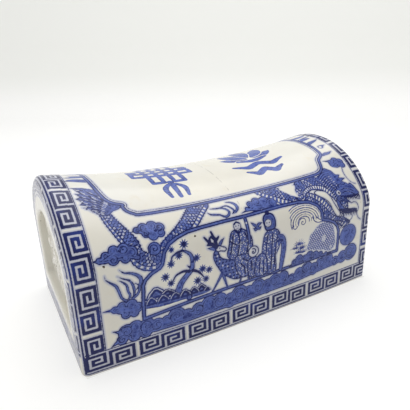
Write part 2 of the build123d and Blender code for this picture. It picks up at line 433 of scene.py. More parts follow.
def field_clouds(cobalt):
    """The clouds that float in the field to the left, and one above the scene."""
    cloud(cobalt, [(285, 395, 16), (312, 390, 22), (347, 390, 24), (374, 402, 22), (370, 426, 20), (340, 430, 22),
                   (314, 418, 18)], [[(264, 398, 2), (285, 398, 20), (330, 408, 46)]], 0.5, 3)
    cloud(cobalt, [(120, 480, 14), (145, 468, 18), (178, 455, 22), (215, 456, 24), (240, 474, 26), (215, 490, 22),
                   (170, 488, 22)], [[(96, 477, 2), (125, 482, 24), (180, 474, 46), (225, 474, 46)],
                                     [(200, 470, 30), (262, 500, 20)]], 0.55, 3)
    cloud(cobalt, [(150, 690, 16), (180, 684, 22), (215, 688, 26), (238, 706, 24), (224, 726, 20), (192, 722, 22)],
          [[(103, 686, 2), (135, 688, 14), (180, 698, 44), (220, 708, 48)]], 0.5, 0)
    cloud(cobalt, [(775, 412, 12), (802, 394, 20), (836, 386, 24), (872, 392, 26), (906, 408, 24)],
          [[(740, 425, 2), (775, 418, 12), (830, 414, 38), (900, 424, 24), (940, 432, 10)]], 0.42, 0)


def flames(cobalt):
    """Five tongues of flame that rise from the cloud low on the left."""
    base = (203, 668)
    for points, widths in (
        ([(127, 539), (130, 556), (148, 575), (165, 592), (174, 620), (183, 650), base], [1, 4, 9, 12, 12, 11, 12]),
        ([(176, 571), (190, 582), (205, 600), (208, 625), (214, 648), base], [1, 7, 10, 11, 11, 10]),
        ([(173, 553), (195, 570), (216, 582), (228, 604), (232, 630), (226, 655), base], [1, 6, 9, 11, 11, 10, 9]),
        ([(183, 529), (200, 546), (225, 554), (250, 570), (262, 590), (256, 612), (240, 628)], [1, 7, 11, 15, 17, 13, 4]),
        ([(238, 600), (252, 615), (250, 638), (234, 656), base], [3, 9, 12, 12, 10]),
    ):
        leaf(cobalt, points, widths, 0.5, False)


def ribbons(cobalt):
    """Curling ribbons of smoke between the dragon and the cloud above the scene."""
    for points, widths in (
        ([(592, 386), (604, 398), (625, 404), (642, 409), (660, 422), (678, 420), (688, 404), (680, 388), (660, 377),
          (636, 374), (612, 370)], [3, 9, 10, 9, 11, 12, 11, 10, 9, 8, 3]),
        ([(696, 352), (716, 358), (732, 374), (733, 395), (716, 412), (700, 416)], [3, 10, 14, 14, 10, 4]),
        ([(662, 372), (690, 372), (706, 388), (712, 404), (700, 418)], [3, 8, 9, 9, 4]),
    ):
        leaf(cobalt, points, widths, 0.35, False)


def dragon(cobalt):
    """The dragon's tail and body: it goes down behind a cloud, rises behind the top's rim, and comes out again
    to bend over the corner of the scene, with one foreleg stretched out."""
    serpent(cobalt, [(188, 290, 46), (203, 340, 54), (226, 395, 62), (247, 445, 66), (255, 488, 66), (283, 520, 74),
                     (322, 530, 76), (356, 508, 66), (395, 474, 56), (445, 447, 64), (497, 413, 76), (540, 372, 80),
                     (580, 335, 80)], -1, edge_share=0.45)
    cobalt.lay(*cobalt.disc(on_sheet([(330, 482)])[0], 5.4), 0.5, 0.9)
    spiral(cobalt, on_sheet([(330, 482)])[0], 3.9, 1.5, 0.5, 0.9)
    tuft = [(186, 306), (160, 292), (146, 272), (128, 262), (140, 246), (112, 236), (132, 216), (104, 200), (128, 190),
            (110, 168), (138, 168), (118, 146), (146, 146), (96, 122), (150, 128), (190, 146), (206, 178), (222, 222),
            (250, 258), (272, 268), (250, 284), (226, 290), (206, 306)]
    cobalt.lay(*cobalt.patch(on_sheet(tuft), False), 0.7, 0.8)
    neck = np.linspace((200, 300), (264, 262), 12)
    tips = np.array([(146, 276), (132, 260), (118, 250), (122, 228), (112, 206), (118, 182), (114, 162), (128, 146),
                     (112, 128), (150, 134), (190, 150), (210, 184)])
    for share, bend in ((0.06, 0.06), (0.3, -0.1), (0.55, 0.12)):
        hair(cobalt, neck + share * (tips - neck), tips, 0.7 + share / 2, bend)
    for share in (0.22, 0.48, 0.72):
        start = neck + share * (tips - neck) + [0, 4]
        hair(cobalt, start[:-1], start[:-1] + 0.13 * (tips - neck)[1:], 0.75, 0.1, False)
    serpent(cobalt, [(880, 322, 66), (935, 362, 90), (992, 398, 96), (1050, 424, 76), (1105, 432, 60)], -1)
    serpent(cobalt, [(1095, 415, 52), (1148, 462, 76), (1190, 512, 72), (1235, 548, 46), (1290, 574, 32),
                     (1338, 600, 22)], 1, 0.6, 2.9, 0.2)
    serpent(cobalt, [(1070, 415, 56), (1088, 378, 76), (1150, 350, 96), (1226, 366, 104), (1276, 425, 96),
                     (1296, 480, 72), (1310, 520, 44)], -1, 0.55, 3.3, 0.45)
    cobalt.spare(*cobalt.patch(on_sheet([(985, 343), (1072, 343), (1058, 380), (1056, 414), (1034, 404), (1012, 386)])))
    gap = [(1152, 414), (1168, 404), (1190, 408), (1216, 420), (1232, 446), (1244, 484), (1268, 526), (1302, 560),
           (1254, 549), (1228, 514), (1216, 480), (1194, 452), (1166, 432)]
    where, depth = cobalt.patch(on_sheet(gap))
    cobalt.spare(where, depth)
    cobalt.rule(where, 0.45 - np.abs(depth))


def dragon_head(cobalt):
    """The dragon's head, seen from its left: a streaming mane, a ridged snout, an open mouth with a tongue, a
    bearded jaw, whiskers, and below it the claw that reaches for a round pearl."""
    mane = [(1204, 340), (1236, 326), (1262, 306), (1296, 292), (1322, 318), (1330, 344), (1352, 352), (1338, 366),
            (1374, 376), (1346, 388), (1366, 404), (1334, 410), (1310, 430), (1300, 452), (1290, 478), (1286, 500),
            (1266, 500), (1262, 470), (1250, 440), (1236, 400), (1214, 370)]
    cobalt.lay(*cobalt.patch(on_sheet(mane), False), 0.55, 0.8)
    roots = np.linspace((1222, 342), (1262, 470), 13)
    hair(cobalt, roots, np.linspace((1312, 316), (1300, 458), 13), 1.0, 0.12)
    for shift in ((0, 4), (30, 2), (56, -2)):
        hair(cobalt, roots[1:-1] + shift, roots[1:-1] + shift + np.array([15, -3]), 0.5, 0.12, False)
    jaw = [(1262, 468), (1280, 482), (1290, 502), (1310, 520), (1340, 530), (1372, 534), (1392, 544), (1370, 552),
           (1340, 556), (1306, 548), (1278, 528), (1262, 500)]
    cobalt.lay(*cobalt.patch(on_sheet(jaw)), 0.75, 0.9)
    roots = np.linspace((1272, 520), (1384, 546), 11)
    hair(cobalt, roots, roots + np.linspace((0, 42), (6, 28), 11), 1.9, 0.12)
    snout = [(1280, 424), (1302, 404), (1326, 398), (1344, 406), (1358, 398), (1374, 410), (1386, 406), (1400, 424),
             (1408, 444), (1418, 466), (1404, 474), (1386, 478), (1360, 480), (1334, 474), (1312, 464), (1296, 462),
             (1284, 446)]
    cobalt.lay(*cobalt.patch(on_sheet(snout)), 0.75, 1.0)
    roots = np.linspace((1316, 464), (1410, 472), 10)
    hair(cobalt, roots, roots + [5, 24], 1.7, 0.05)
    for offset in (14, 30):
        ridge = [(1310, 418 + offset), (1340, 414 + offset), (1366, 424 + offset), (1390, 440 + offset)]
        cobalt.rule(*cobalt.stroke(on_sheet(ridge), [0.8, 1.4, 0.8]))
        cobalt.spare(*cobalt.stroke(on_sheet(ridge[1:3]), [0.3, 0.6, 0.3]))
    leaf(cobalt, [(1286, 484), (1306, 482), (1330, 490), (1356, 506)], [5, 13, 12, 2], 0.75)
    cobalt.spare(*cobalt.disc(on_sheet([(1290, 442)])[0], 2.4))
    cobalt.rule(*cobalt.disc(on_sheet([(1292, 443)])[0], 1.2))
    hair(cobalt, [(1282, 428), (1294, 422), (1308, 418)], [(1258, 402), (1274, 390), (1294, 382)], 1.4, -0.2)
    for whisker in ([(1352, 506), (1372, 504), (1390, 514), (1400, 540), (1392, 566), (1404, 592), (1424, 607)],
                    [(1380, 484), (1396, 492), (1412, 496)],
                    [(1392, 318), (1384, 340), (1382, 362), (1388, 390), (1402, 410), (1418, 418)],
                    [(1346, 560), (1362, 574), (1350, 592), (1330, 596)]):
        cobalt.rule(*cobalt.stroke(on_sheet(whisker), 0.75))
    for claw in ([(1300, 578), (1284, 598), (1274, 618)], [(1320, 592), (1298, 606), (1280, 626)],
                 [(1336, 602), (1316, 614), (1292, 624)], [(1262, 584), (1284, 604), (1306, 616)]):
        leaf(cobalt, claw, [10, 9, 2], 0.75, False)
    centre = on_sheet([(1341, 670)])[0]
    where, depth = cobalt.disc(centre, 11.4)
    cobalt.lay(where, depth, 0.3, 0.8)
    cobalt.rule(where, 0.22 - np.abs(depth - 2.4))


def leaf_sprays(cobalt):
    """Leaves and a small cloud beside the top's rim, at both ends."""
    cloud(cobalt, [(1362, 272, 18), (1384, 262, 18), (1402, 280, 22), (1404, 302, 18), (1372, 292, 20)],
          [[(1320, 250, 2), (1342, 258, 12), (1370, 270, 34)], [(1346, 262, 8), (1352, 290, 24), (1380, 296, 30)]],
          curls=0)
    leaf(cobalt, [(1330, 92), (1350, 88), (1376, 78), (1402, 72), (1428, 64)], [16, 26, 26, 18, 2])
    leaf(cobalt, [(1342, 212), (1366, 206), (1388, 206), (1412, 199)], [10, 20, 16, 2])
    leaf(cobalt, [(1420, 137), (1404, 138), (1388, 144)], [1, 12, 30], 0.5, False)
    cobalt.spare(*cobalt.disc(on_sheet([(1385, 144)])[0], 1.7))
    leaf(cobalt, [(1345, 30), (1368, 22), (1392, 18), (1412, 24)], [14, 26, 26, 4], 0.55)
    leaf(cobalt, [(98, 57), (120, 50), (148, 52), (176, 60), (196, 66)], [2, 22, 34, 34, 30])
    leaf(cobalt, [(100, 12), (126, 10), (150, 4), (182, 6)], [2, 18, 28, 22])


def top_rim(cobalt):
    """The rim of the plain top: a broad line with stepped corners, and a thin one beside it."""
    left = [(188, -60), (188, 0), (190, 45), (195, 112), (206, 187), (219, 225), (240, 247), (272, 262), (268, 274),
            (272, 288), (280, 302), (300, 318), (330, 328)]
    low = [(500, 332), (740, 329), (1000, 323), (1180, 318)]
    right = [(1240, 314), (1266, 304), (1284, 285), (1297, 255), (1307, 232), (1335, 210), (1347, 190), (1350, 125),
             (1349, 60), (1349, 0), (1349, -60)]
    edge = on_sheet(left + low + right)
    where, depth = cobalt.patch(edge, False)
    cobalt.spare(where, depth)
    path = smooth_path(edge)
    cobalt.lay(*cobalt.stroke(path, 3.5, False), 0.8, 1.0)
    where, depth = cobalt.patch(path, False)
    cobalt.rule(where, 0.35 - np.abs(depth - 3.1))


def scene_rim(cobalt):
    """The frame of the scene: a line as broad as the top's rim, arched up on both sides."""
    edge = on_sheet([(260, 767), (262, 700), (266, 655), (268, 622), (278, 600), (302, 580), (340, 564), (351, 552),
                     (357, 530), (365, 505), (390, 477), (427, 460), (477, 447), (540, 443), (640, 440), (740, 440),
                     (940, 435), (1040, 437), (1100, 449), (1140, 474), (1158, 505), (1163, 548), (1202, 560),
                     (1240, 580), (1262, 603), (1273, 632), (1273, 690), (1271, 737), (1180, 737), (980, 738),
                     (640, 743), (440, 752)])
    cobalt.spare(*cobalt.patch(edge, False))
    cobalt.lay(*cobalt.stroke(edge, 3.6, False, True), 0.75, 1.1)


def pine(cobalt):
    """A bent pine with its needles in round tufts."""
    trunk = on_sheet([(408, 692), (425, 656), (450, 629), (474, 606), (478, 572), (473, 543), (457, 526), (438, 515)])
    cobalt.lay(*cobalt.stroke(trunk, [6.4, 5.6, 5.0, 4.4, 3.6, 3.2, 2.6, 1.8]), 0.65, 0.8)
    for twig, widths in (([(462, 612), (440, 606), (418, 610), (402, 618), (392, 634)], [3.2, 2.4, 2.0, 1.6, 1.2]),
                         ([(440, 516), (420, 518), (404, 524), (393, 532), (389, 548)], [2.2, 2.0, 1.6, 1.4, 1.0]),
                         ([(478, 612), (500, 624), (515, 640), (526, 656)], [2.8, 2.2, 1.6, 1.0]),
                         ([(478, 575), (490, 566), (497, 560)], [2.0, 1.4, 1.0]),
                         ([(466, 596), (456, 586)], [2.0, 0.8])):
        cobalt.rule(*cobalt.stroke(on_sheet(twig), widths))
    for x, y, r in ((450, 492, 19), (422, 532, 17), (387, 560, 17), (395, 502, 13), (360, 610, 18), (382, 643, 16),
                    (497, 562, 18), (522, 618, 18), (552, 630, 16), (498, 666, 19), (536, 668, 16)):
        centre = on_sheet([(x, y)])[0]
        where = cobalt.near(centre[None], 8)
        dx, ds = cobalt.x[where] - centre[0], cobalt.s[where] - centre[1]
        needle = np.abs((np.arctan2(ds, dx) * 10 / (2 * np.pi) + x / 7) % 1 * 2 - 1)
        away = np.hypot(dx, ds)
        cobalt.tint(where, np.clip(r / SHEET_SCALE * (0.42 + 0.84 * needle) - away, -REACH, None), 0.7)
        cobalt.rule(where, np.clip(r / SHEET_SCALE * (0.25 + 0.62 * needle) - away, -REACH, None))


def hump(cobalt, x, y, width, height, tone):
    """One rock or wave: a rounded crest with two pale contours under it."""
    for i, (share, laid) in enumerate(((1.0, True), (0.84, False), (0.72, True))):
        half, rise = width * share / 2, height * (0.25 + 0.75 * share)
        form = [(x - half, y), (x - half * 0.72, y - rise * 0.55), (x - half * 0.2, y - rise), (x + half * 0.15, y - rise * 0.97),
                (x + half * 0.75, y - rise * 0.5), (x + half, y)]
        where, depth = cobalt.patch(on_sheet(form), False)
        if laid:
            cobalt.lay(where, depth, tone + 0.15 * i, 0.9 + 0.6 * i)
        else:
            cobalt.spare(where, depth)


def rocks(cobalt):
    """A heap of rocks under the pine, built up from the back row to the front."""
    hump(cobalt, 318, 690, 96, 50, 0.45)
    hump(cobalt, 365, 696, 90, 34, 0.45)
    for x, y, width, height in ((296, 716, 62, 40), (345, 720, 68, 40), (398, 722, 66, 38), (514, 722, 62, 40),
                                (480, 722, 60, 36), (440, 724, 66, 40), (540, 726, 40, 22)):
        hump(cobalt, x, y, width, height, 0.65)
    cobalt.lay(*cobalt.disc(on_sheet([(457, 730)])[0], 2.8), 0.8, 1.2)
    line = [(272, 716), (340, 722), (420, 724), (500, 726), (548, 728)]
    cobalt.tint(*cobalt.stroke(on_sheet(line), [4, 5, 4, 4, 1.5]), 0.7)


def face(cobalt, x, y, r, hat=True):
    """A small round head with plain features: two dots, a short mouth line, and a cap line over the brow."""
    centre = on_sheet([(x, y)])[0]
    where, depth = cobalt.disc(centre, r)
    cobalt.spare(where, depth)
    cobalt.rule(where, 0.38 - np.abs(depth - 0.2))
    for dx in (-0.36, 0.36):
        cobalt.rule(*cobalt.disc(centre + [dx * r, 0.1 * r], 0.6))
    cobalt.rule(*cobalt.stroke([centre + [-0.25 * r, -0.48 * r], centre + [0.25 * r, -0.48 * r]], 0.5, False))
    if hat:
        cap = [centre + [-0.75 * r, 0.55 * r], centre + [0, 1.0 * r], centre + [0.75 * r, 0.55 * r]]
        cobalt.rule(*cobalt.stroke(cap, 1.5))


def robe(cobalt, outline, folds, tone, pitch=1.9):
    """A figured robe: a wash with a dark outline, folds, and a brocade of small marks left white."""
    where, depth = cobalt.patch(on_sheet(outline))
    cobalt.lay(where, depth, tone, 1.0)
    x, s = cobalt.x[where], cobalt.s[where]
    cloth = np.sin(pitch * x + 1.7 * np.sin(0.9 * s)) * np.sin(pitch * 0.9 * s + 1.3 * np.sin(1.1 * x))
    cobalt.spare(where, np.minimum(0.9 * (cloth - 0.5), depth - 1.1))
    cobalt.rule(where, np.minimum(0.3 - 1.6 * np.abs(cloth + 0.15), depth))
    for fold in folds:
        cobalt.rule(*cobalt.stroke(on_sheet(fold), 1.5))
        cobalt.spare(*cobalt.stroke(on_sheet(fold) + [1.1, 0.0], 0.4))


def deer_and_rider(cobalt):
    """A spotted deer and the figure that rides it, with a staff, a bundle and a bird."""
    for leg in ([(612, 668), (596, 692), (580, 716), (566, 736)], [(618, 672), (626, 700), (634, 728), (638, 737)],
                [(700, 690), (706, 712), (700, 736)], [(730, 690), (742, 712), (746, 735)]):
        cobalt.lay(*cobalt.stroke(on_sheet(leg), [3.4, 2.4, 1.8, 2.2]), 0.75, 0.8)
    body = [(578, 552), (592, 545), (600, 566), (612, 590), (640, 606), (690, 622), (740, 640), (760, 668), (750, 700),
            (715, 716), (672, 712), (640, 692), (614, 670), (596, 640), (580, 610), (572, 580)]
    where, depth = cobalt.patch(on_sheet(body))
    cobalt.lay(where, depth, 0.7, 1.0)
    ripple = np.sin(cobalt.x[where] * 1.9 + 2 * np.sin(cobalt.s[where] / 3)) + np.sin(cobalt.s[where] * 2.1)
    cobalt.rule(where, np.minimum(0.35 * ripple - 0.1, depth))
    for x, y in ((592, 580), (602, 606), (616, 630), (640, 640), (664, 656), (650, 680), (684, 684), (708, 668),
                 (724, 694), (698, 702), (736, 662), (668, 700)):
        cobalt.spare(*cobalt.disc(on_sheet([(x, y)])[0], 0.75))
    for ear in ([(588, 548), (568, 540), (548, 534)], [(602, 540), (612, 522), (628, 508)]):
        leaf(cobalt, ear, [15, 15, 2], 0.9, False)
    muzzle = [(584, 544), (596, 534), (612, 540), (628, 548), (636, 558), (628, 566), (610, 560), (594, 560)]
    where, depth = cobalt.patch(on_sheet(muzzle))
    cobalt.spare(where, depth)
    cobalt.rule(where, 0.55 - np.abs(depth))
    cobalt.rule(*cobalt.disc(on_sheet([(604, 546)])[0], 0.6))
    for antler in ([(588, 540), (572, 524), (556, 508), (541, 487)], [(572, 522), (550, 520)], [(560, 511), (564, 494)],
                   [(590, 538), (588, 514), (582, 494), (575, 471)], [(587, 512), (604, 498)], [(584, 500), (570, 490)]):
        cobalt.rule(*cobalt.stroke(on_sheet(antler), np.linspace(3.4, 1.8, len(antler))))
    back = [(668, 490), (700, 482), (732, 494), (756, 520), (768, 560), (766, 600), (742, 630), (690, 628), (648, 608),
            (638, 582), (646, 545), (654, 510)]
    robe(cobalt, back, ([(672, 506), (664, 548), (656, 590)], [(700, 500), (700, 550), (690, 606)],
                        [(730, 508), (742, 556), (738, 600)], [(656, 530), (690, 552), (734, 546)]), 0.75)
    robe(cobalt, [(676, 610), (736, 604), (772, 632), (780, 676), (756, 710), (716, 716), (686, 684)],
         ([(716, 626), (740, 640), (752, 672)], [(706, 646), (724, 668), (728, 700)]), 0.6)
    face(cobalt, 700, 474, 3.6)
    cobalt.rule(*cobalt.stroke(on_sheet([(684, 488), (700, 502), (718, 488)]), 1.6))
    cobalt.lay(*cobalt.stroke(on_sheet([(746, 452), (747, 500), (750, 556)]), 3.4), 0.75, 1.0)
    cobalt.spare(*cobalt.disc(on_sheet([(746, 470)])[0], 0.9))
    for wing in ([(793, 497), (780, 486), (768, 474)], [(793, 497), (806, 488), (822, 485)],
                 [(793, 499), (784, 508), (774, 500)], [(793, 499), (803, 506), (814, 500)]):
        leaf(cobalt, wing, [15, 14, 3], 0.9, False)
    where, depth = cobalt.disc(on_sheet([(770, 606)])[0], 5.2)
    cobalt.spare(where, depth)
    cobalt.rule(where, 0.5 - np.abs(depth))
    spiral(cobalt, on_sheet([(770, 606)])[0], 3.0, 1.2, 0.6, 1.1)
    robe(cobalt, [(742, 640), (770, 630), (800, 640), (814, 676), (810, 718), (776, 730), (746, 722), (738, 680)],
         ([(760, 650), (764, 690)], [(786, 652), (790, 700)]), 0.7)


def attendant(cobalt):
    """The figure that stands behind the deer, with a small one beside it and a tall fan."""
    coat = [(826, 540), (850, 524), (880, 522), (906, 540), (918, 580), (910, 620), (894, 660), (892, 734), (824, 734),
            (818, 690), (812, 640), (816, 586)]
    robe(cobalt, coat, ([(846, 545), (838, 600), (836, 700)], [(872, 548), (868, 620), (866, 720)],
                        [(898, 560), (890, 610), (884, 700)], [(826, 572), (856, 590), (890, 584)]), 0.95, 1.4)
    robe(cobalt, [(786, 640), (812, 624), (838, 640), (848, 690), (842, 734), (784, 734), (776, 690)],
         ([(806, 650), (802, 716)], [(826, 660), (826, 720)]), 0.6)
    sleeve = [(900, 560), (924, 580), (934, 620), (928, 680), (920, 734)]
    cobalt.lay(*cobalt.stroke(on_sheet(sleeve), [3.0, 6.0, 6.0, 5.4, 4.4]), 0.6, 0.9)
    cobalt.rule(*cobalt.stroke(on_sheet([(896, 590), (912, 586), (926, 592)]), 2.4))
    hood = [(828, 500), (828, 472), (846, 452), (876, 452), (892, 472), (892, 508), (880, 528), (838, 526)]
    cobalt.lay(*cobalt.patch(on_sheet(hood)), 0.9, 1.4)
    face(cobalt, 852, 494, 3.6, False)
    cobalt.rule(*cobalt.disc(on_sheet([(860, 449)])[0], 2.2))


def swirl(cobalt):
    """Concentric thin bands of a cloud that rolls in to a spiral: arcs about one centre, stretched sideways."""
    centre = on_sheet([(1046, 520)])[0]
    for i, r in enumerate(np.arange(5.2, 18.0, 2.1)):
        a = np.linspace(np.pi * (1.16 - 0.03 * i), -0.24 + 0.04 * i, 16)
        path = np.column_stack([centre[0] + 1.3 * r * np.cos(a), centre[1] - 2 + 0.92 * r * np.sin(a)])
        path = path[(path[:, 0] > 193.5) & (path[:, 1] < 100.5) & (path[:, 0] < 231.5)]
        cobalt.tint(*cobalt.stroke(path, 1.0 - 0.3 * (i % 2)), 0.3 + 0.3 * (i % 2))
    angle = np.linspace(0.3, 3.0 * np.pi, 20)
    coil = centre + [-1.0, -2.5] + 0.5 * angle[:, None] * np.column_stack([np.cos(angle), np.sin(angle)])
    cobalt.tint(*cobalt.stroke(coil, 0.9), 0.6)
    for points in ([(985, 520), (982, 545), (998, 556), (1012, 544)], [(975, 500), (972, 530), (978, 552)],
                   [(1098, 520), (1112, 542), (1132, 554), (1158, 556)], [(1112, 505), (1128, 530), (1150, 545)]):
        cobalt.tint(*cobalt.stroke(on_sheet(points), 1.0), 0.6)


def scaled_rock(cobalt):
    """A garden rock drawn as a net of fish-scale rows, a bush beside it, and low ground in front."""
    outline = [(1078, 676), (1084, 640), (1090, 612), (1112, 594), (1134, 574), (1166, 563), (1204, 570), (1234, 600),
               (1248, 648), (1254, 694), (1236, 718), (1210, 720), (1176, 706), (1130, 694)]
    where, depth = cobalt.patch(on_sheet(outline))
    x, s = cobalt.x[where], cobalt.s[where]
    row = np.floor(s / 2.0)
    u = (x / 2.5 + 0.5 * (row % 2) + 0.25 * np.sin(s / 5)) % 1 - 0.5
    v = s / 2.0 - row - 0.5
    scale = np.hypot(u * 2.5, v * 2.0)
    hollow = (np.sin(x / 3.1 + 1) * np.sin(s / 4.3) > 0.72) & (depth > 2)
    cobalt.tint(where, np.where(hollow, -0.5, np.minimum(depth, scale - 0.72)), 0.62)
    cobalt.rule(where, np.minimum(np.minimum(scale - 1.22, 0.5), depth))
    for x0, y0 in ((1026, 640), (1004, 656), (1044, 664), (1020, 682), (1050, 686)):
        for a in np.linspace(0.1, 3.0, 9):
            tip = (x0 + 36 * np.cos(a), y0 - 30 * np.sin(a))
            cobalt.tint(*cobalt.stroke(on_sheet([(x0, y0), tip]), [0.9, 0.4], False), 0.25)
    cloud(cobalt, [(1000, 724, 18), (1028, 714, 24), (1062, 722, 22), (1092, 712, 24), (1128, 720, 22), (1160, 726, 18),
                   (1196, 732, 12)], [[(972, 736, 8), (1080, 730, 26), (1240, 738, 6)]], 0.75, 0, 2.0)


def bands(cobalt, girth):
    """The fret bands and thin rules along both feet. The bar next to the corner is a full upright."""
    for turned in (False, True):
        a = 2 * SHEET_CENTRE - cobalt.x if turned else cobalt.x
        b = girth - cobalt.s if turned else cobalt.s
        where = np.nonzero(b < 20.5)[0]
        a, b = a[where], b[where]
        u = (a - 4.1) / 4.8
        pair = np.floor((u + 0.48) / 9)
        depth = fret_depth(u, (b - 5.2) / 3.83, 0.30) * 4.2
        cobalt.rule(where, np.clip(np.where((pair >= 0) & (pair <= 6), depth, -REACH), -REACH, None))
        inside = np.minimum(a - 3.0, 304.4 - a)
        for level, width in ((2.4, 0.9), (19.3, 0.8)):
            cobalt.rule(where, np.minimum(width / 2 - np.abs(b - level), inside))


def column_steps(along, girth):
    """Steps of the column's fret at a run over the wall: four steps of a repeat stand above each foot band,
    and from there the repeats grow a little up the side and over the top, evenly from both feet."""
    middle = 0.488 * girth
    near = np.interp(along, [17.7, 34.3, 39.6, 186], [4, 8, 9, 40])
    far = 80 - np.interp(girth - along, [17.7, 34.3, 39.6, 195.3], [4, 8, 9, 40])
    return np.where(along < middle, near, far)


def columns(cobalt, girth):
    """The fret columns up both ends and over the top, and the rules on both sides of them."""
    x, s = cobalt.x, cobalt.s
    up = np.minimum(s, girth - s)
    for left_edge in (5.3, 289.5):
        where = np.nonzero((x > left_edge - 6) & (x < left_edge + 18) & (up > 16.4))[0]
        across = (x[where] - left_edge) / 4.07
        steps = column_steps(s[where], girth[where])
        depth = fret_depth(steps, 3 - across, 0.31) * 4.2
        depth = np.minimum(depth, up[where] - np.where(across < 0.4, 16.9, 19.5))
        cobalt.rule(where, np.clip(depth, -REACH, None))
    for rule_x, width in ((2.1, 1.7), (19.4, 0.8), (287.4, 0.8), (304.1, 1.7)):
        where = np.nonzero(np.abs(x - rule_x) < 3)[0]
        lowest = 2.0 if width > 1 else 19.3
        cobalt.rule(where, np.minimum(width / 2 - np.abs(x[where] - rule_x), up[where] - lowest))


def lay_flat(cobalt, *forms):
    """Lays several broad strokes as one form, in an even pale blue with bare clay round it."""
    where, depth = cobalt.join(*forms)
    cobalt.spare(where, depth + 0.9)
    cobalt.tint(where, depth, 0.1)


def endless_knot(cobalt, x, s):
    """A mystic knot in flat blue: bars laced at right angles, loops round its edge, a cord with a crossbar over
    it and a tassel under it."""
    def bar(points, width, curved=False):
        return cobalt.stroke(np.array([x, s]) + np.array(points), width, curved)

    bars = [bar([(-23, 9 * i + 4), (23, 9 * i + 4)], 5.4) for i in (-1, 0, 1)]
    bars += [bar([(10 * i, -15), (10 * i, 23)], 5.0) for i in (-1.5, -0.5, 0.5, 1.5)]
    for way in (-1, 1):
        bars.append(bar([(23 * way, -5), (28 * way, -5), (28 * way, 4), (23 * way, 4)], 4.6))
        bars.append(bar([(23 * way, 8), (28 * way, 8), (28 * way, 13), (23 * way, 13)], 4.6))
        bars.append(bar([(15 * way, 23), (15 * way, 28), (5 * way, 28), (5 * way, 23)], 4.6))
        bars.append(bar([(15 * way, -15), (15 * way, -21), (5 * way, -21), (5 * way, -15)], 4.6))
        bars.append(bar([(4 * way, -26), (9 * way, -33), (8 * way, -44)], [4.0, 5.4, 3.4], True))
    bars.append(bar([(0, 28), (0, 40)], 4.6))
    bars.append(bar([(-12, 40), (12, 40)], 5.4))
    bars.append(bar([(0, -22), (0, -45)], [6.4, 4.0]))
    lay_flat(cobalt, *bars)


def lotus(cobalt, x, s):
    """A lotus in flat blue: five petals fanned over a bar, and two waves under it."""
    middle = np.array([x, s - 2])
    for angle, length, width in ((-1.25, 31, 11), (1.25, 31, 11), (-0.66, 36, 14), (0.66, 36, 14), (0.0, 40, 15)):
        way = np.array([np.sin(angle), np.cos(angle)])
        side = np.array([way[1], -way[0]]) * np.sign(angle) * 0.5
        path = [middle + length * (t * way + t * (1 - t) * 0.6 * side) for t in (0.12, 0.45, 0.75, 1)]
        lay_flat(cobalt, cobalt.stroke(path, [3.0, width, width * 0.8, 1.0]))
    lay_flat(cobalt, cobalt.stroke(middle + np.array([(-16, -3), (0, -7), (16, -3)]), [4.0, 7.0, 4.0]))
    for i, half in enumerate((28, 20)):
        t = np.linspace(-1, 1, 9)
        wave = np.column_stack([half * t, -17 - 13 * i + 2.6 * np.cos(t * np.pi * 2)])
        lay_flat(cobalt, cobalt.stroke(middle + wave, [3.0, 7.0, 7.0, 7.0, 3.0]))


def paint_wall(station, along):
    """The whole decoration at given stations and runs: the field is drawn once for the front half, and the
    back half is the same drawing turned half round; the bands run on over both."""
    shape = station.shape
    girth = wall_section(station)[4]
    x = station + HALF_LENGTH
    far = along > girth / 2
    cobalt = Painting(np.where(far, 2 * SHEET_CENTRE - x, x), np.where(far, girth - along, along))
    for draw in (cloud_band, flames, ribbons, dragon, field_clouds, dragon_head, leaf_sprays, top_rim, scene_rim,
                 pine, rocks, swirl, scaled_rock, deer_and_rider, attendant):
        draw(cobalt)
    for x0, y0 in ((131, 504), (505, 472)):
        where, depth = cobalt.disc(on_sheet([(x0, y0)])[0], 0.7)
        cobalt.tone[where] = np.where(depth > -0.2, IRON, cobalt.tone[where])
    cobalt.x, cobalt.s = x.ravel(), along.ravel()
    girth = girth.ravel()
    endless_knot(cobalt, 106, 182)
    lotus(cobalt, 203, 182)
    bands(cobalt, girth)
    columns(cobalt, girth)
    return np.stack([cobalt.line, cobalt.wash, cobalt.tone], -1).reshape(shape + (3,))


strips = [make_strip(name, paint_wall) for name in ("front_glaze", "top_glaze", "back_glaze")]


def node_tools(material):
    """A clean node tree for a material, a maker of its nodes and a maker of its links."""
    material.use_nodes = True
    tree = material.node_tree
    tree.nodes.clear()

    def node(kind, **values):
        made = tree.nodes.new("ShaderNode" + kind)
        for key, value in values.items():
            if key in made.inputs:
                made.inputs[key].default_value = value
            else:
                setattr(made, key, value)
        return made

    return node, tree.links.new


def noise(node, link, place, scale, detail=2.0, rough=0.5):
    made = node("TexNoise", Scale=scale, Detail=detail, Roughness=rough)
    link(place, made.inputs["Vector"])
    return made.outputs["Fac"]


def calculate(node, link, operation, a, b=None, c=None):
    made = node("Math", operation=operation)
    for socket, value in zip(made.inputs, (a, b, c)):
        if value is None:
            continue
        if isinstance(value, (int, float)):
            socket.default_value = value
        else:
            link(value, socket)
    return made.outputs[0]


def ramp(node, link, value, low, high, new_low=0.0, new_high=1.0):
    made = node("MapRange", interpolation_type="SMOOTHSTEP")
    link(value, made.inputs["Value"])
    for key, number in zip(("From Min", "From Max", "To Min", "To Max"), (low, high, new_low, new_high)):
        made.inputs[key].default_value = number
    return made.outputs["Result"]


def blend_colours(node, link, share, a, b):
    made = node("Mix", data_type="RGBA")
    if isinstance(share, float):
        made.inputs["Factor"].default_value = share
    else:
        link(share, made.inputs["Factor"])
    for socket, colour in ((made.inputs[6], a), (made.inputs[7], b)):
        if isinstance(colour, tuple):
            socket.default_value = (*colour, 1)
        else:
            link(colour, socket)
    return made.outputs[2]


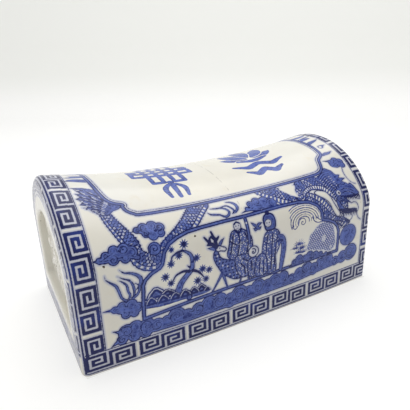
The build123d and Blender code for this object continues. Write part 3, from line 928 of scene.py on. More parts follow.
def glaze_material(name):
    """Porcelain under a clear glaze: a warm grey-white body, cobalt where the attribute says, darker where it
    pools at the edge of a wash, a few iron specks, a bare foot, and a gloss coat a little uneven."""
    material = bpy.data.materials.new(name)
    node, link = node_tools(material)
    place = node("TexCoord").outputs["Object"]
    painted = node("Attribute", attribute_name="cobalt")
    parts = node("SeparateXYZ")
    link(painted.outputs["Vector"], parts.inputs[0])
    line, wash, tone = parts.outputs
    tremble = calculate(node, link, "SUBTRACT", noise(node, link, place, 700, 3), 0.5)
    bleed = calculate(node, link, "MULTIPLY", tremble, 0.7)
    in_line = ramp(node, link, calculate(node, link, "ADD", line, bleed), -0.16, 0.2)
    in_wash = ramp(node, link, calculate(node, link, "ADD", wash, bleed), -0.14, 0.2)
    brush = noise(node, link, place, 130, 4, 0.6)
    slow = noise(node, link, place, 26, 2)
    body = blend_colours(node, link, ramp(node, link, slow, 0.3, 0.7), (0.82, 0.795, 0.71), (0.77, 0.745, 0.67))
    body = blend_colours(node, link, ramp(node, link, noise(node, link, place, 9, 3), 0.35, 0.7), body, (0.81, 0.80, 0.75))
    stain = ramp(node, link, noise(node, link, place, 70, 4, 0.6), 0.55, 0.75, 0.0, 0.5)
    body = blend_colours(node, link, stain, body, (0.75, 0.70, 0.57))
    strength = calculate(node, link, "ADD", calculate(node, link, "MINIMUM", tone, 1.0), calculate(node, link, "MULTIPLY", calculate(node, link, "SUBTRACT", brush, 0.5), 1.9))
    pool = ramp(node, link, wash, 0.0, 1.5, 0.40, 0.0)
    strength = calculate(node, link, "ADD", strength, pool)
    dabs = ramp(node, link, noise(node, link, place, 300, 3, 0.6), 0.38, 0.62, -0.3, 0.35)
    strength = calculate(node, link, "ADD", strength, dabs)
    grain = ramp(node, link, noise(node, link, place, 620, 3, 0.65), 0.36, 0.64, -0.35, 0.35)
    strength = calculate(node, link, "ADD", strength, grain)
    wash_colour = blend_colours(node, link, ramp(node, link, strength, -0.1, 1.1), (0.078, 0.132, 0.47), (0.005, 0.019, 0.18))
    thin = calculate(node, link, "MULTIPLY", ramp(node, link, noise(node, link, place, 55, 3), 0.46, 0.72), 0.6)
    line_colour = blend_colours(node, link, thin, (0.002, 0.006, 0.085), (0.017, 0.043, 0.28))
    colour = blend_colours(node, link, calculate(node, link, "MULTIPLY", in_wash, 0.985), body, wash_colour)
    halo = ramp(node, link, calculate(node, link, "ADD", line, bleed), -2.0, 0.1, 0.0, 0.48)
    colour = blend_colours(node, link, halo, colour, (0.16, 0.22, 0.56))
    colour = blend_colours(node, link, calculate(node, link, "MULTIPLY", in_line, 0.985), colour, line_colour)
    specks = node("TexVoronoi", Scale=75.0)
    link(place, specks.inputs["Vector"])
    chosen = node("SeparateColor")
    link(specks.outputs["Color"], chosen.inputs[0])
    rare = ramp(node, link, chosen.outputs[0], 0.93, 0.935)
    dot = ramp(node, link, specks.outputs["Distance"], 0.03, 0.055, 1.0, 0.0)
    iron = calculate(node, link, "MAXIMUM", calculate(node, link, "MULTIPLY", rare, dot), ramp(node, link, tone, 1.6, 2.2))
    colour = blend_colours(node, link, iron, colour, (0.05, 0.03, 0.015))
    level = node("SeparateXYZ")
    link(place, level.inputs[0])
    off_seam = calculate(node, link, "ABSOLUTE", calculate(node, link, "SUBTRACT", level.outputs[0], 0.0004))
    seam = calculate(node, link, "MULTIPLY", ramp(node, link, off_seam, 0.0002, 0.0006, 1.0, 0.0), ramp(node, link, level.outputs[2], 0.095, 0.11))
    seam = calculate(node, link, "MULTIPLY", seam, ramp(node, link, noise(node, link, place, 230, 3), 0.42, 0.6, 0.0, 0.5))
    colour = blend_colours(node, link, seam, colour, (0.30, 0.29, 0.25))
    wander = calculate(node, link, "MULTIPLY_ADD", noise(node, link, place, 90, 3), 0.0016, 0.0003)
    above_foot = ramp(node, link, calculate(node, link, "SUBTRACT", level.outputs[2], wander), -0.0002, 0.0004)
    bare = blend_colours(node, link, noise(node, link, place, 500, 4), (0.40, 0.345, 0.27), (0.60, 0.545, 0.46))
    colour = blend_colours(node, link, above_foot, bare, colour)
    surface = node("BsdfPrincipled")
    link(colour, surface.inputs["Base Color"])
    gloss = ramp(node, link, noise(node, link, place, 60, 3), 0.3, 0.7, 0.16, 0.26)
    rough = calculate(node, link, "MULTIPLY_ADD", calculate(node, link, "SUBTRACT", 1.0, above_foot), 0.6, gloss)
    link(rough, surface.inputs["Roughness"])
    surface.inputs["Specular IOR Level"].default_value = 0.25
    bump = node("Bump", Strength=0.25, Distance=0.0003)
    ripple = calculate(node, link, "ADD", noise(node, link, place, 160, 3), calculate(node, link, "MULTIPLY", noise(node, link, place, 900, 2), 0.18))
    link(ripple, bump.inputs["Height"])
    link(bump.outputs[0], surface.inputs["Normal"])
    output = node("OutputMaterial")
    link(surface.outputs[0], output.inputs[0])
    return material


painted_glaze = glaze_material("painted_glaze")
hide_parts("left_half_shell", "right_half_shell")
for piece in strips:
    piece.data.materials.append(painted_glaze)
    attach(piece, "root")

# The ends. Each is a slab luted into the arch, with the outer edge rounded by hand and a sunk panel that has
# its own small arch. Its glaze runs on from the wall's, so it is painted as part of the same band.
EDGE_ROUNDING = 6.0
RECESS_HALF_WIDTH = 56.0
RECESS_SILL = 28.0
RECESS_TOP = 108.0
RECESS_STRAIGHT = 69.0
RECESS_SHOULDER = 30.0
RECESS_CORNER = 5.0
RECESS_DEPTH = 8.0
LIP_ROUNDING = 2.5
COVE = 1.6
PANEL_MIDDLE = 68.0
RIM_COLUMNS = 13
EDGE_COLUMNS = 13
RING_COLUMNS = 40
LIP_COLUMNS = 7
SIDE_COLUMNS = 5
COVE_COLUMNS = 5
FLOOR_COLUMNS = 30
BOTTOM_ROWS = 120
CORNER_SHARE = 0.12
SILL_SHARE = 0.93


def recess_arch(part, offset):
    """Across and level on the half arch of the recess, drawn out by offset. part runs from 0 to 1 through
    half the sill corner's arc and the straight side, to 2 over the shoulder arc, and to 3 at the crown."""
    rise = RECESS_TOP - RECESS_STRAIGHT
    reach = RECESS_HALF_WIDTH - RECESS_SHOULDER
    crown = (reach**2 + rise**2 - RECESS_SHOULDER**2) / (2 * (rise - RECESS_SHOULDER))
    turn = np.arctan2(crown - rise, reach)
    corner_level = RECESS_SILL + RECESS_CORNER
    corner_angle = np.minimum(part / CORNER_SHARE - 1, 0) * np.pi / 4
    across = RECESS_HALF_WIDTH - RECESS_CORNER + (RECESS_CORNER + offset) * np.cos(corner_angle)
    level = corner_level + (RECESS_CORNER + offset) * np.sin(corner_angle)
    side_share = np.clip((part - CORNER_SHARE) / (1 - CORNER_SHARE), 0, 1)
    level = level + side_share * (RECESS_STRAIGHT - corner_level)
    angle = np.where(part < 2, (part - 1) * turn, turn + (part - 2) * (np.pi / 2 - turn))
    radius = np.where(part < 2, RECESS_SHOULDER, crown) + offset
    centre_across = np.where(part < 2, reach, 0)
    centre_level = np.where(part < 2, RECESS_STRAIGHT, RECESS_TOP - crown)
    across = np.where(part < 1, across, centre_across + radius * np.cos(angle))
    level = np.where(part < 1, level, centre_level + radius * np.sin(angle))
    return across, level


def recess_sill(share, offset):
    """Across and level on the sill of the recess, drawn out by offset. share runs from 1 at the middle of one
    corner's arc to -1 at the middle of the other."""
    turn = np.clip((np.abs(share) - SILL_SHARE) / (1 - SILL_SHARE), 0, 1) * np.pi / 4
    flat = np.minimum(np.abs(share) / SILL_SHARE, 1) * (RECESS_HALF_WIDTH - RECESS_CORNER)
    across = flat + (RECESS_CORNER + offset) * np.sin(turn)
    level = RECESS_SILL + RECESS_CORNER - (RECESS_CORNER + offset) * np.cos(turn)
    return np.sign(share) * across, level


def end_surface():
    """The right end as a grid. Its rows run once round, over the arch and back along the foot, and its columns
    from the joint over the rounded edge, across the ring, over the lip, down the recess and over its floor
    to the middle. Gives the stations, the places across, the levels, and the runs along the wall."""
    parts = [strip_rows(name) for name in ("front_glaze", "top_glaze", "back_glaze")]
    rows = [np.concatenate([part[i][:-1] for part in parts] + [parts[2][i][-1:]]) for i in (0, 1)]
    edge = HALF_LENGTH - EDGE_ROUNDING
    girth = wall_section(edge)[4]
    along = rows[0] + rows[1] * girth
    on_edge = np.stack(wall_point(edge, along, 0))
    outward = on_edge - np.stack(wall_point(edge, along, 1.0))
    spread = np.stack(wall_point(edge + 0.5, rows[0] + rows[1] * wall_section(edge + 0.5)[4], 0)) - on_edge
    first_tilt = -np.arctan(2 * (spread * outward).sum(0))
    radius = EDGE_ROUNDING - glazed_inset(edge, along)
    tangent = edge + radius * np.sin(first_tilt)

    station = END_JOINT + (tangent - END_JOINT)[:, None] * np.linspace(0, 1, RIM_COLUMNS)
    rim_along = rows_at(rows, station)
    across, level = wall_point(station, rim_along, glazed_inset(station, rim_along))

    tilt = first_tilt[:, None] + (np.pi / 2 - first_tilt)[:, None] * np.linspace(0, 1, EDGE_COLUMNS + 1)[1:]
    centre = np.stack(wall_point(edge, along, EDGE_ROUNDING / np.cos(first_tilt)))
    reach = radius[:, None] * np.cos(tilt)
    station = np.hstack([station, edge + radius[:, None] * np.sin(tilt)])
    across = np.hstack([across, centre[0][:, None] + reach * outward[0][:, None]])
    level = np.hstack([level, centre[1][:, None] + reach * outward[1][:, None]])
    run = np.hstack([rim_along, np.repeat(along[:, None], EDGE_COLUMNS, 1)])
    bend = np.hstack([np.zeros(rim_along.shape), EDGE_ROUNDING * tilt])

    sill = np.linspace(1, -1, BOTTOM_ROWS + 2)[1:-1, None]
    across = np.vstack([across, sill * across[-1:]])
    level = np.vstack([level, 0 * sill * across[-1:]])
    station = np.vstack([station, station[:1] + 0 * sill])

    half_width, height, crown, turn, girth = wall_section(edge)
    up = np.minimum(along, girth - along)
    corner = up - STRAIGHT_HEIGHT
    top = corner - SHOULDER_RADIUS * turn
    part = np.where(top < 0, 1 + corner / (SHOULDER_RADIUS * turn), 2 + top / (crown * (np.pi / 2 - turn)))
    part = np.where(corner < 0, up / STRAIGHT_HEIGHT, part)
    side = np.sign(along - girth / 2)

    def outline(offset):
        arch_across, arch_level = recess_arch(part, offset)
        sill_across, sill_level = recess_sill(sill[:, 0], offset)
        return np.stack([np.append(side * arch_across, sill_across), np.append(arch_level, sill_level)])

    def add(new_station, place):
        return (
            np.column_stack([station, new_station]),
            np.column_stack([across, place[0]]),
            np.column_stack([level, place[1]]),
        )

    start = np.stack([across[:, -1], level[:, -1]])
    for share in np.linspace(0, 1, RING_COLUMNS + 1)[1:] ** 1.15:
        place = start + share * (outline(LIP_ROUNDING) - start)
        station, across, level = add(HALF_LENGTH - foot_rounding(place[1]), place)
    everywhere = np.ones(len(across))
    for angle in np.linspace(0, np.pi / 2, LIP_COLUMNS + 1)[1:]:
        lip_station = HALF_LENGTH - LIP_ROUNDING * (1 - np.cos(angle))
        station, across, level = add(lip_station * everywhere, outline(LIP_ROUNDING * (1 - np.sin(angle))))
    floor_station = HALF_LENGTH - RECESS_DEPTH
    for share in np.linspace(0, 1, SIDE_COLUMNS + 1)[1:]:
        depth = LIP_ROUNDING + share * (RECESS_DEPTH - LIP_ROUNDING - COVE)
        station, across, level = add((HALF_LENGTH - depth) * everywhere, outline(0))
    for angle in np.linspace(0, np.pi / 2, COVE_COLUMNS + 1)[1:]:
        station, across, level = add(
            (floor_station + COVE * (1 - np.sin(angle))) * everywhere, outline(COVE * (np.cos(angle) - 1))
        )
    start = outline(-COVE)
    middle = np.array([[0.0], [PANEL_MIDDLE]])
    for share in np.linspace(0, 0.97, FLOOR_COLUMNS + 1)[1:]:
        station, across, level = add(floor_station * everywhere, start + share * (middle - start))
    return station, across, level, run, bend


def end_place(across, level):
    """Where a point of the flat face lies: its run along the arch from the front foot, and its depth in from
    the arch, measured square to the side, or from the shoulder's or the crown's centre."""
    half_width, height, crown, turn, girth = wall_section(HALF_LENGTH)
    out = np.abs(across)
    reach = half_width - SHOULDER_RADIUS
    over_crown = np.arctan2(level - height + crown, out)
    over_shoulder = np.arctan2(level - STRAIGHT_HEIGHT, out - reach)
    on_crown = (over_crown > turn) & (level > STRAIGHT_HEIGHT)
    run = np.where(on_crown, STRAIGHT_HEIGHT + SHOULDER_RADIUS * turn + crown * (over_crown - turn),
                   STRAIGHT_HEIGHT + SHOULDER_RADIUS * over_shoulder)
    depth = np.where(on_crown, crown - np.hypot(out, level - height + crown),
                     SHOULDER_RADIUS - np.hypot(out - reach, level - STRAIGHT_HEIGHT))
    run = np.where(level < STRAIGHT_HEIGHT, level, run)
    depth = np.where(level < STRAIGHT_HEIGHT, half_width - out, depth)
    return np.where(across < 0, run, girth - run), depth, girth


def end_fret(run, inward, girth, level):
    """Depth inside the fret that follows the arch of an end. inward is the way in from where the rounded edge
    begins, over the edge and on across the flat face."""
    band = fret_depth(column_steps(run, girth), 3 - (inward - 7.6) / 3.3, 0.33) * 3.9
    rule = 0.4 - np.abs(inward - 21.3)
    return np.minimum(np.maximum(band, rule), level - 18.2)


def paint_end(side, station, across, level, run, bend):
    """The end's decoration: the wall's bands go on to the rounded edge, where the fret that follows the arch
    begins, and another fret stands along the foot with thin rules on both sides of it."""
    rows, edge_columns = run.shape
    values = np.stack([np.full(station.shape, -REACH), np.full(station.shape, -REACH), np.full(station.shape, 0.9)], -1)
    on_wall = np.where(bend > 0, HALF_LENGTH - EDGE_ROUNDING + bend, station[:rows, :edge_columns])
    values[:rows, :edge_columns] = paint_wall(side * on_wall, run)
    girth = wall_section(HALF_LENGTH)[4]
    mirrored = run if side > 0 else girth - run
    on_edge = end_fret(mirrored * girth / wall_section(HALF_LENGTH - EDGE_ROUNDING)[4], bend, girth, level[:rows, :edge_columns])
    on_edge = np.where(bend > 5.0, np.maximum(on_edge, values[:rows, :edge_columns, 0]), values[:rows, :edge_columns, 0])
    values[:rows, :edge_columns, 0] = on_edge
    flat = slice(edge_columns, edge_columns + RING_COLUMNS)
    y, z = -side * across[:, flat], level[:, flat]
    place, depth, girth = end_place(y, z)
    band = end_fret(place, depth + EDGE_ROUNDING * (np.pi / 2 - 1), girth, z)
    steps = (y + 75.0) / 150 * 35
    foot_band = fret_depth(steps, (z - 5.2) / 3.83, 0.32) * 4.0
    foot_band = np.minimum(foot_band, 76 - np.abs(y))
    low_rule = np.minimum(0.5 - np.abs(z - 2.2), 78 - np.abs(y))
    high_rule = np.minimum(0.5 - np.abs(z - 19.3), 64.5 - np.abs(y))
    line = np.maximum(np.maximum(band, foot_band), np.maximum(low_rule, high_rule))
    values[:, flat, 0] = np.clip(line, -REACH, None)
    return values.reshape(-1, 3)


def make_end(name, side):
    """One end, side -1 at the left: the surface, closed behind by a fan at the joint and in the middle of the
    recess floor by another."""
    station, across, level, run, bend = end_surface()
    rows, columns = station.shape
    points = np.stack([side * station, across, level], -1).reshape(-1, 3)
    middles = [[side * END_JOINT, 0, PANEL_MIDDLE], [side * (HALF_LENGTH - RECESS_DEPTH), 0, PANEL_MIDDLE]]
    points = np.vstack([points, middles])
    first = np.arange(rows) * columns
    following = np.roll(first, -1)
    behind = np.stack([first, following, np.full(rows, rows * columns)], -1)
    floor = np.stack([following, first, np.full(rows, rows * columns + 1)], -1) + [columns - 1, columns - 1, 0]
    surface = grid_faces(rows + 1, columns) % (rows * columns)
    faces = [surface, floor, behind]
    if side < 0:
        faces = [face[:, ::-1] for face in faces]
    values = np.tile([-REACH, -REACH, 0.5], (len(points), 1))
    values[: rows * columns] = paint_end(side, station, across, level, run, bend)
    return make_piece(name, points, faces, [True, True, False], values)


end_glaze = glaze_material("end_glaze")
ends = [make_end("left_end_glaze", -1), make_end("right_end_glaze", 1)]
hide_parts("left_end_panel")
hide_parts("right_end_panel")
for piece in ends:
    piece.data.materials.append(end_glaze)
    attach(piece, "root")

# The reliefs. A sprig-moulded rosette with leaves was pressed from soft porcelain and stuck on the floor of
# each recess before glazing. The glaze softened its edges, and pooled a little green in its hollows, which
# are painted darker still as painted shade.
RELIEF_HALF_WIDTH = 46.5
RELIEF_HALF_HEIGHT = 36.5
RELIEF_GRID = 0.46
RELIEF_STEP = 12
GROUND_RADIUS = 26.0
GROUND_THICKNESS = 1.4
RELIEF_ROOT = 22.0
BURIED = 0.25


def leaf_height(u, v, angle, root, length, width, height):
    """Height of a moulded leaf: full in the middle of its width, drawn to a point at both ends, with a groove
    along its midrib and slanting side veins."""
    along = (u * np.cos(angle) + v * np.sin(angle) - root) / length
    across = v * np.cos(angle) - u * np.sin(angle)
    half = width / 2 * np.sin(np.pi * np.clip(along, 0, 1)) ** 0.8 + 1e-6
    round_top = np.sqrt(np.clip(1 - (across / half) ** 2, 0, 1))
    rib = 0.9 * np.exp(-((across / 0.55) ** 2))
    veins = 0.4 * np.cos(2 * np.pi * (along * length - 0.9 * np.abs(across)) / 2.4) * (np.abs(across) > 0.6)
    inside = (along > 0) & (along < 1) & (np.abs(across) < half)
    return np.where(inside, height * round_top - (rib + veins) * round_top, 0)


def petal_height(u, v, angle, radius, length, width, height):
    """Height of a petal of the rosette: half an ellipsoid, dished along its middle."""
    along = (u * np.cos(angle) + v * np.sin(angle) - radius) / (length / 2)
    across = (v * np.cos(angle) - u * np.sin(angle)) / (width / 2)
    dome = np.sqrt(np.clip(1 - along**2 - across**2, 0, 1))
    return np.where(dome > 0, GROUND_THICKNESS + height * (dome - 0.35 * np.exp(-((across / 0.35) ** 2)) * dome), 0)


def relief_height(u, v):
    """Height of the whole relief over the recess floor: the highest of its ground, petals, boss, seeds,
    leaves and scrolls, then softened by averaging each point with its neighbours a few times."""
    distance = np.hypot(u, v)
    height = GROUND_THICKNESS * np.clip((GROUND_RADIUS - distance) / 1.2, 0, 1)
    for i in range(8):
        outer = petal_height(u, v, (i + 0.5) * np.pi / 4, 17.0, 18.0, 10.0, 2.4)
        inner = petal_height(u, v, i * np.pi / 4, 11.5, 15.0, 8.0, 3.0)
        height = np.maximum(height, np.maximum(outer, inner))
    boss = GROUND_THICKNESS + 3.2 * np.sqrt(np.clip(1 - (distance / 6.2) ** 2, 0, 1))
    height = np.where(distance < 6.2, np.maximum(height, boss), height)
    for ring, count in ((0.0, 1), (2.3, 6), (4.4, 11)):
        for i in range(count):
            a = 2 * np.pi * i / count
            seed = np.hypot(u - ring * np.cos(a), v - ring * np.sin(a))
            height += np.where(seed < 0.8, 0.45 * (1 - (seed / 0.8) ** 2), 0)
    for upright in (0, np.pi):
        for fan in (-30, 0, 30):
            height = np.maximum(height, leaf_height(u, v, upright + np.radians(fan), RELIEF_ROOT, 24, 11, 3.6))
    for upright in (np.pi / 2, -np.pi / 2):
        for fan in (-24, 0, 24):
            height = np.maximum(height, leaf_height(u, v, upright + np.radians(fan), RELIEF_ROOT, 14, 8, 3.4))
    for across, up in ((1, 1), (1, -1), (-1, 1), (-1, -1)):
        for x, y, r, turn in ((23.5, 26.5, 4.6, 0.4), (33.0, 23.5, 3.2, 2.2)):
            du, dv = across * u - x, up * v - y
            radius, angle = np.hypot(du, dv), np.arctan2(dv, du)
            coil = np.abs((radius / r - (angle + turn) / (2 * np.pi)) % 1 - 0.5) * r
            scroll = 2.2 * np.sqrt(np.clip(1 - (coil / 1.1) ** 2, 0, 1)) * (radius < r * 1.25)
            height = np.maximum(height, scroll)
    for _ in range(3):
        height[1:-1] = (height[:-2] + 2 * height[1:-1] + height[2:]) / 4
        height[:, 1:-1] = (height[:, :-2] + 2 * height[:, 1:-1] + height[:, 2:]) / 4
    return height


def make_relief(name, side):
    """One relief, side -1 at the left: a fine surface that follows the height, a coarse back buried in the
    recess floor, and the edges between them."""
    columns = int(2 * RELIEF_HALF_WIDTH / RELIEF_GRID / RELIEF_STEP) * RELIEF_STEP + 1
    rows = int(2 * RELIEF_HALF_HEIGHT / RELIEF_GRID / RELIEF_STEP) * RELIEF_STEP + 1
    u, v = np.meshgrid(np.linspace(-RELIEF_HALF_WIDTH, RELIEF_HALF_WIDTH, columns), np.linspace(-RELIEF_HALF_HEIGHT, RELIEF_HALF_HEIGHT, rows))
    height = relief_height(u, v)
    floor_station = HALF_LENGTH - RECESS_DEPTH
    front = np.stack([side * (floor_station - BURIED + height), u, v + PANEL_MIDDLE], -1)
    back = np.array(front[::RELIEF_STEP, ::RELIEF_STEP])
    back[..., 0] = side * (floor_station - 2.0)
    count = rows * columns
    faces = [grid_faces(rows, columns), grid_faces(*back.shape[:2], count)[:, ::-1],
             stitch(rim_of(rows, columns), rim_of(*back.shape[:2], count))]
    if side < 0:
        faces = [face[:, ::-1] for face in faces]
    points = np.concatenate([front.reshape(-1, 3), back.reshape(-1, 3)])
    around = height.copy()
    for _ in range(14):
        around[1:-1, 1:-1] = (around[:-2, 1:-1] + around[2:, 1:-1] + around[1:-1, :-2] + around[1:-1, 2:]) / 4
    values = np.zeros((len(points), 3))
    # The first value is how far each point lies below the average of its neighbours; the material darkens these
    # hollows, partly as pooled glaze and partly as painted shade.
    values[:count, 0] = (around - height).ravel()
    return make_piece(name, points, faces, [True, False, False], values)


def relief_material():
    """Clear glaze over white clay: whiter where it is thin on the high parts, pale grey-green where it pools
    in the hollows, which are also painted darker there as painted shade.
    """
    material = bpy.data.materials.new("relief_glaze")
    node, link = node_tools(material)
    place = node("TexCoord").outputs["Object"]
    parts = node("SeparateXYZ")
    link(node("Attribute", attribute_name="cobalt").outputs["Vector"], parts.inputs[0])
    # Painted shade: where the relief lies below its neighbours the colour goes towards a darker grey-green, along with
    # the glaze pooled there.
    hollow = ramp(node, link, parts.outputs[0], -0.25, 0.35)
    clay = blend_colours(node, link, noise(node, link, place, 60, 3), (0.80, 0.77, 0.69), (0.83, 0.805, 0.74))
    colour = blend_colours(node, link, hollow, clay, (0.40, 0.395, 0.32))
    stain = ramp(node, link, noise(node, link, place, 120, 4), 0.55, 0.75, 0.0, 0.35)
    colour = blend_colours(node, link, stain, colour, (0.66, 0.58, 0.44))
    surface = node("BsdfPrincipled")
    link(colour, surface.inputs["Base Color"])
    link(ramp(node, link, noise(node, link, place, 200, 3), 0.3, 0.7, 0.14, 0.28), surface.inputs["Roughness"])
    surface.inputs["Specular IOR Level"].default_value = 0.45
    bump = node("Bump", Strength=0.3, Distance=0.0002)
    link(noise(node, link, place, 600, 3), bump.inputs["Height"])
    link(bump.outputs[0], surface.inputs["Normal"])
    link(surface.outputs[0], node("OutputMaterial").inputs[0])
    return material


relief_glaze = relief_material()
for name, side in (("left", -1), ("right", 1)):
    relief = make_relief(name + "_relief_glaze", side)
    relief.data.materials.append(relief_glaze)
    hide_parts(name + "_end_relief")
    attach(relief, "root")

# The bare clay. The base slab is left unglazed, scraped level and a little stained from the kiln shelf. The
# coils and the strip that join the slabs inside are never seen, and keep the CAD's own shapes.


def clay_material(name, pale, dark, grain):
    """Unglazed biscuit porcelain: two close tones in broad clouds, fine grit, scrape marks and small pits, each
    painted dark towards its middle as painted shade.
    """
    material = bpy.data.materials.new(name)
    node, link = node_tools(material)
    place = node("TexCoord").outputs["Object"]
    clouds = noise(node, link, place, 22, 5, 0.6)
    grit = noise(node, link, place, grain, 3, 0.7)
    colour = blend_colours(node, link, ramp(node, link, clouds, 0.3, 0.7), pale, dark)
    colour = blend_colours(node, link, ramp(node, link, grit, 0.56, 0.72, 0.0, 0.5), colour, (0.30, 0.23, 0.16))
    stretched = node("Mapping")
    stretched.inputs["Scale"].default_value = (18, 420, 18)
    stretched.inputs["Rotation"].default_value = (0, 0, 0.3)
    link(place, stretched.inputs["Vector"])
    scrapes = noise(node, link, stretched.outputs[0], 1.0, 4, 0.6)
    colour = blend_colours(node, link, ramp(node, link, scrapes, 0.5, 0.8, 0.0, 0.35), colour, (0.74, 0.70, 0.62))
    # Painted shade: each small pit is darkened in colour towards its middle, as well as being sunk by the bump.
    pits = node("TexVoronoi", Scale=260.0)
    link(place, pits.inputs["Vector"])
    pit_and_painted_shade = ramp(node, link, pits.outputs["Distance"], 0.05, 0.16)
    colour = blend_colours(node, link, pit_and_painted_shade, (0.22, 0.17, 0.12), colour)
    surface = node("BsdfPrincipled")
    link(colour, surface.inputs["Base Color"])
    link(ramp(node, link, grit, 0.2, 0.8, 0.72, 0.95), surface.inputs["Roughness"])
    surface.inputs["Specular IOR Level"].default_value = 0.25
    bump = node("Bump", Strength=0.6, Distance=0.0004)
    heights = calculate(node, link, "ADD", calculate(node, link, "MULTIPLY", scrapes, 0.6), calculate(node, link, "ADD", pit_and_painted_shade, grit))
    link(heights, bump.inputs["Height"])
    link(bump.outputs[0], surface.inputs["Normal"])
    link(surface.outputs[0], node("OutputMaterial").inputs[0])
    return material


def recoat(name, material):
    """Gives a CAD node's own mesh a new material."""
    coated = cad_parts[name]
    coated.data.materials.clear()
    coated.data.materials.append(material)


bare_clay = clay_material("bare_clay", (0.62, 0.555, 0.46), (0.50, 0.435, 0.345), 900)
luting_clay = clay_material("luting_clay", (0.60, 0.54, 0.45), (0.46, 0.40, 0.32), 600)
recoat("base_slab", bare_clay)
for name in ("seam_strip", "front_luting_coil", "back_luting_coil", "left_luting_coil", "right_luting_coil"):
    recoat(name, luting_clay)

# The camera stands at the photograph's place, low and to the left of the front. Its place, its turn and its
# focal length were fitted to the corners and the top line of the pillow.
CAMERA_PLACE = (-0.187158, -0.362197, 0.236817)
CAMERA_YAW = 0.4844
CAMERA_PITCH = 0.3547
CAMERA_ROLL = -0.0360
CAMERA_LENS = 37.96

ahead = np.array([np.sin(CAMERA_YAW) * np.cos(CAMERA_PITCH), np.cos(CAMERA_YAW) * np.cos(CAMERA_PITCH), -np.sin(CAMERA_PITCH)])
level_right = np.array([np.cos(CAMERA_YAW), -np.sin(CAMERA_YAW), 0])
level_up = np.cross(level_right, ahead)
camera_frame = np.eye(4)
camera_frame[:3, 0] = np.cos(CAMERA_ROLL) * level_right + np.sin(CAMERA_ROLL) * level_up
camera_frame[:3, 1] = np.cos(CAMERA_ROLL) * level_up - np.sin(CAMERA_ROLL) * level_right
camera_frame[:3, 2] = -ahead
camera_frame[:3, 3] = CAMERA_PLACE
camera = bpy.data.objects.new("camera", bpy.data.cameras.new("camera"))
camera.data.lens = CAMERA_LENS
camera.data.sensor_width = 36
bpy.context.scene.collection.objects.link(camera)
camera.matrix_world = Matrix(camera_frame.tolist())
bpy.context.scene.camera = camera

# The table is a sheet of white paper that sweeps up behind the pillow. Its colour goes from white to a light
# grey where it turns up, as the photograph's does: painted shade on the upturned wall. It is open under the
# base slab, and clear from below, so that the underside can be looked at too.
SWEEP_TURN = -39.5
SWEEP_DISTANCE = 1.02
SWEEP_RADIUS = 0.25
SWEEP_HEIGHT = 3.0
SWEEP_REACH = 5.0
SWEEP_DROP = 0.0001
BASE_REACH = (0.148, 0.0835)


def make_sweep():
    """The paper: a line across, carried along a profile of flat table, quarter circle and upright wall."""
    angle = np.linspace(0, np.pi / 2, 25)
    away = np.concatenate([[-SWEEP_REACH], SWEEP_DISTANCE + SWEEP_RADIUS * np.sin(angle), [SWEEP_DISTANCE + SWEEP_RADIUS]])
    height = np.concatenate([[0], SWEEP_RADIUS * (1 - np.cos(angle)), [SWEEP_HEIGHT]]) - SWEEP_DROP
    turn = np.radians(SWEEP_TURN)
    across = np.array([np.cos(turn), np.sin(turn)])
    ahead_flat = np.array([-across[1], across[0]])
    sides = np.array([-SWEEP_REACH, SWEEP_REACH])
    flat = away[:, None, None] * ahead_flat + sides[None, :, None] * across
    points = np.concatenate([flat, np.broadcast_to(height[:, None, None], (len(away), 2, 1))], -1)
    return make_piece("paper_sweep", points.reshape(-1, 3) * 1000, [grid_faces(len(away), 2)], [True])


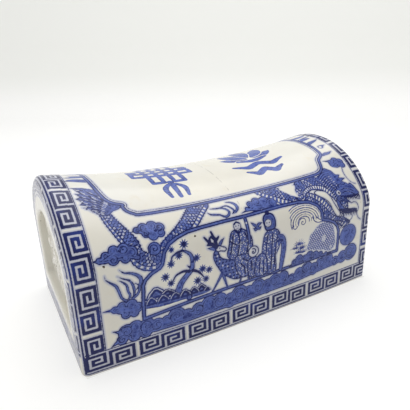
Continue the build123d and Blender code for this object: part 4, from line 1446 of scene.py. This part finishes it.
sweep = make_sweep()
paper = bpy.data.materials.new("paper")
node, link = node_tools(paper)
place = node("TexCoord").outputs["Object"]
level = node("SeparateXYZ")
link(place, level.inputs[0])
# Painted shade: both the lit colour and the colour seen turn from white to light grey as the paper rises up the sweep.
rise = ramp(node, link, level.outputs[2], 0.0, 0.16)
soft = node("BsdfDiffuse")
link(blend_colours(node, link, rise, (0.86, 0.86, 0.85), (0.72, 0.72, 0.70)), soft.inputs["Color"])
shown = node("Emission", Strength=1.27)
link(blend_colours(node, link, rise, (1.0, 1.0, 0.99), (0.90, 0.91, 0.875)), shown.inputs["Color"])
rays = node("LightPath")
seen = calculate(node, link, "MAXIMUM", rays.outputs["Is Camera Ray"], rays.outputs["Is Glossy Ray"])
both = node("MixShader")
link(calculate(node, link, "MULTIPLY", seen, 0.50), both.inputs[0])
link(soft.outputs[0], both.inputs[1])
link(shown.outputs[0], both.inputs[2])
under_base = calculate(node, link, "MULTIPLY",
                       calculate(node, link, "LESS_THAN", calculate(node, link, "ABSOLUTE", level.outputs[0]), BASE_REACH[0]),
                       calculate(node, link, "LESS_THAN", calculate(node, link, "ABSOLUTE", level.outputs[1]), BASE_REACH[1]))
from_below = calculate(node, link, "MULTIPLY", node("NewGeometry").outputs["Backfacing"], rays.outputs["Is Camera Ray"])
through = node("MixShader")
link(calculate(node, link, "MAXIMUM", under_base, from_below), through.inputs[0])
link(both.outputs[0], through.inputs[1])
link(node("BsdfTransparent").outputs[0], through.inputs[2])
link(through.outputs[0], node("OutputMaterial").inputs[0])
sweep.data.materials.append(paper)

# Plain soft studio light: a pale surround, and one broad lamp overhead that stands a little behind and to the
# right, so that the top is the brightest and a soft shadow falls to the front and left.
SURROUND_STRENGTH = 0.58
SHOWN_STRENGTH = 0.79
LAMP_POWER = 9.2
LAMP_SIZE = 1.1
LAMP_PLACE = (0.20, 0.30, 1.15)
SIDE_LAMP_POWER = 1.3
SIDE_LAMP_SIZE = 0.6
SIDE_LAMP_PLACE = (-1.1, 0.15, 0.55)

world = bpy.data.worlds.new("surround")
bpy.context.scene.world = world
world.use_nodes = True
node, link = node_tools(world)
rays = node("LightPath")
lit = node("Background", Color=(1.0, 0.99, 0.97, 1), Strength=SURROUND_STRENGTH)
shown = node("Background", Color=(1.0, 1.0, 0.98, 1), Strength=SHOWN_STRENGTH)
both = node("MixShader")
link(rays.outputs["Is Camera Ray"], both.inputs[0])
link(lit.outputs[0], both.inputs[1])
link(shown.outputs[0], both.inputs[2])
link(both.outputs[0], node("OutputWorld").inputs[0])
for name, power, size, spot in (("overhead_lamp", LAMP_POWER, LAMP_SIZE, LAMP_PLACE),
                                ("side_lamp", SIDE_LAMP_POWER, SIDE_LAMP_SIZE, SIDE_LAMP_PLACE)):
    lamp = bpy.data.objects.new(name, bpy.data.lights.new(name, "AREA"))
    lamp.data.energy = power
    lamp.data.size = size
    lamp.location = spot
    lamp.rotation_euler = (Vector((0, 0, 0.05)) - Vector(spot)).to_track_quat("-Z", "Y").to_euler()
    bpy.context.scene.collection.objects.link(lamp)
bpy.context.scene.view_settings.view_transform = "Standard"
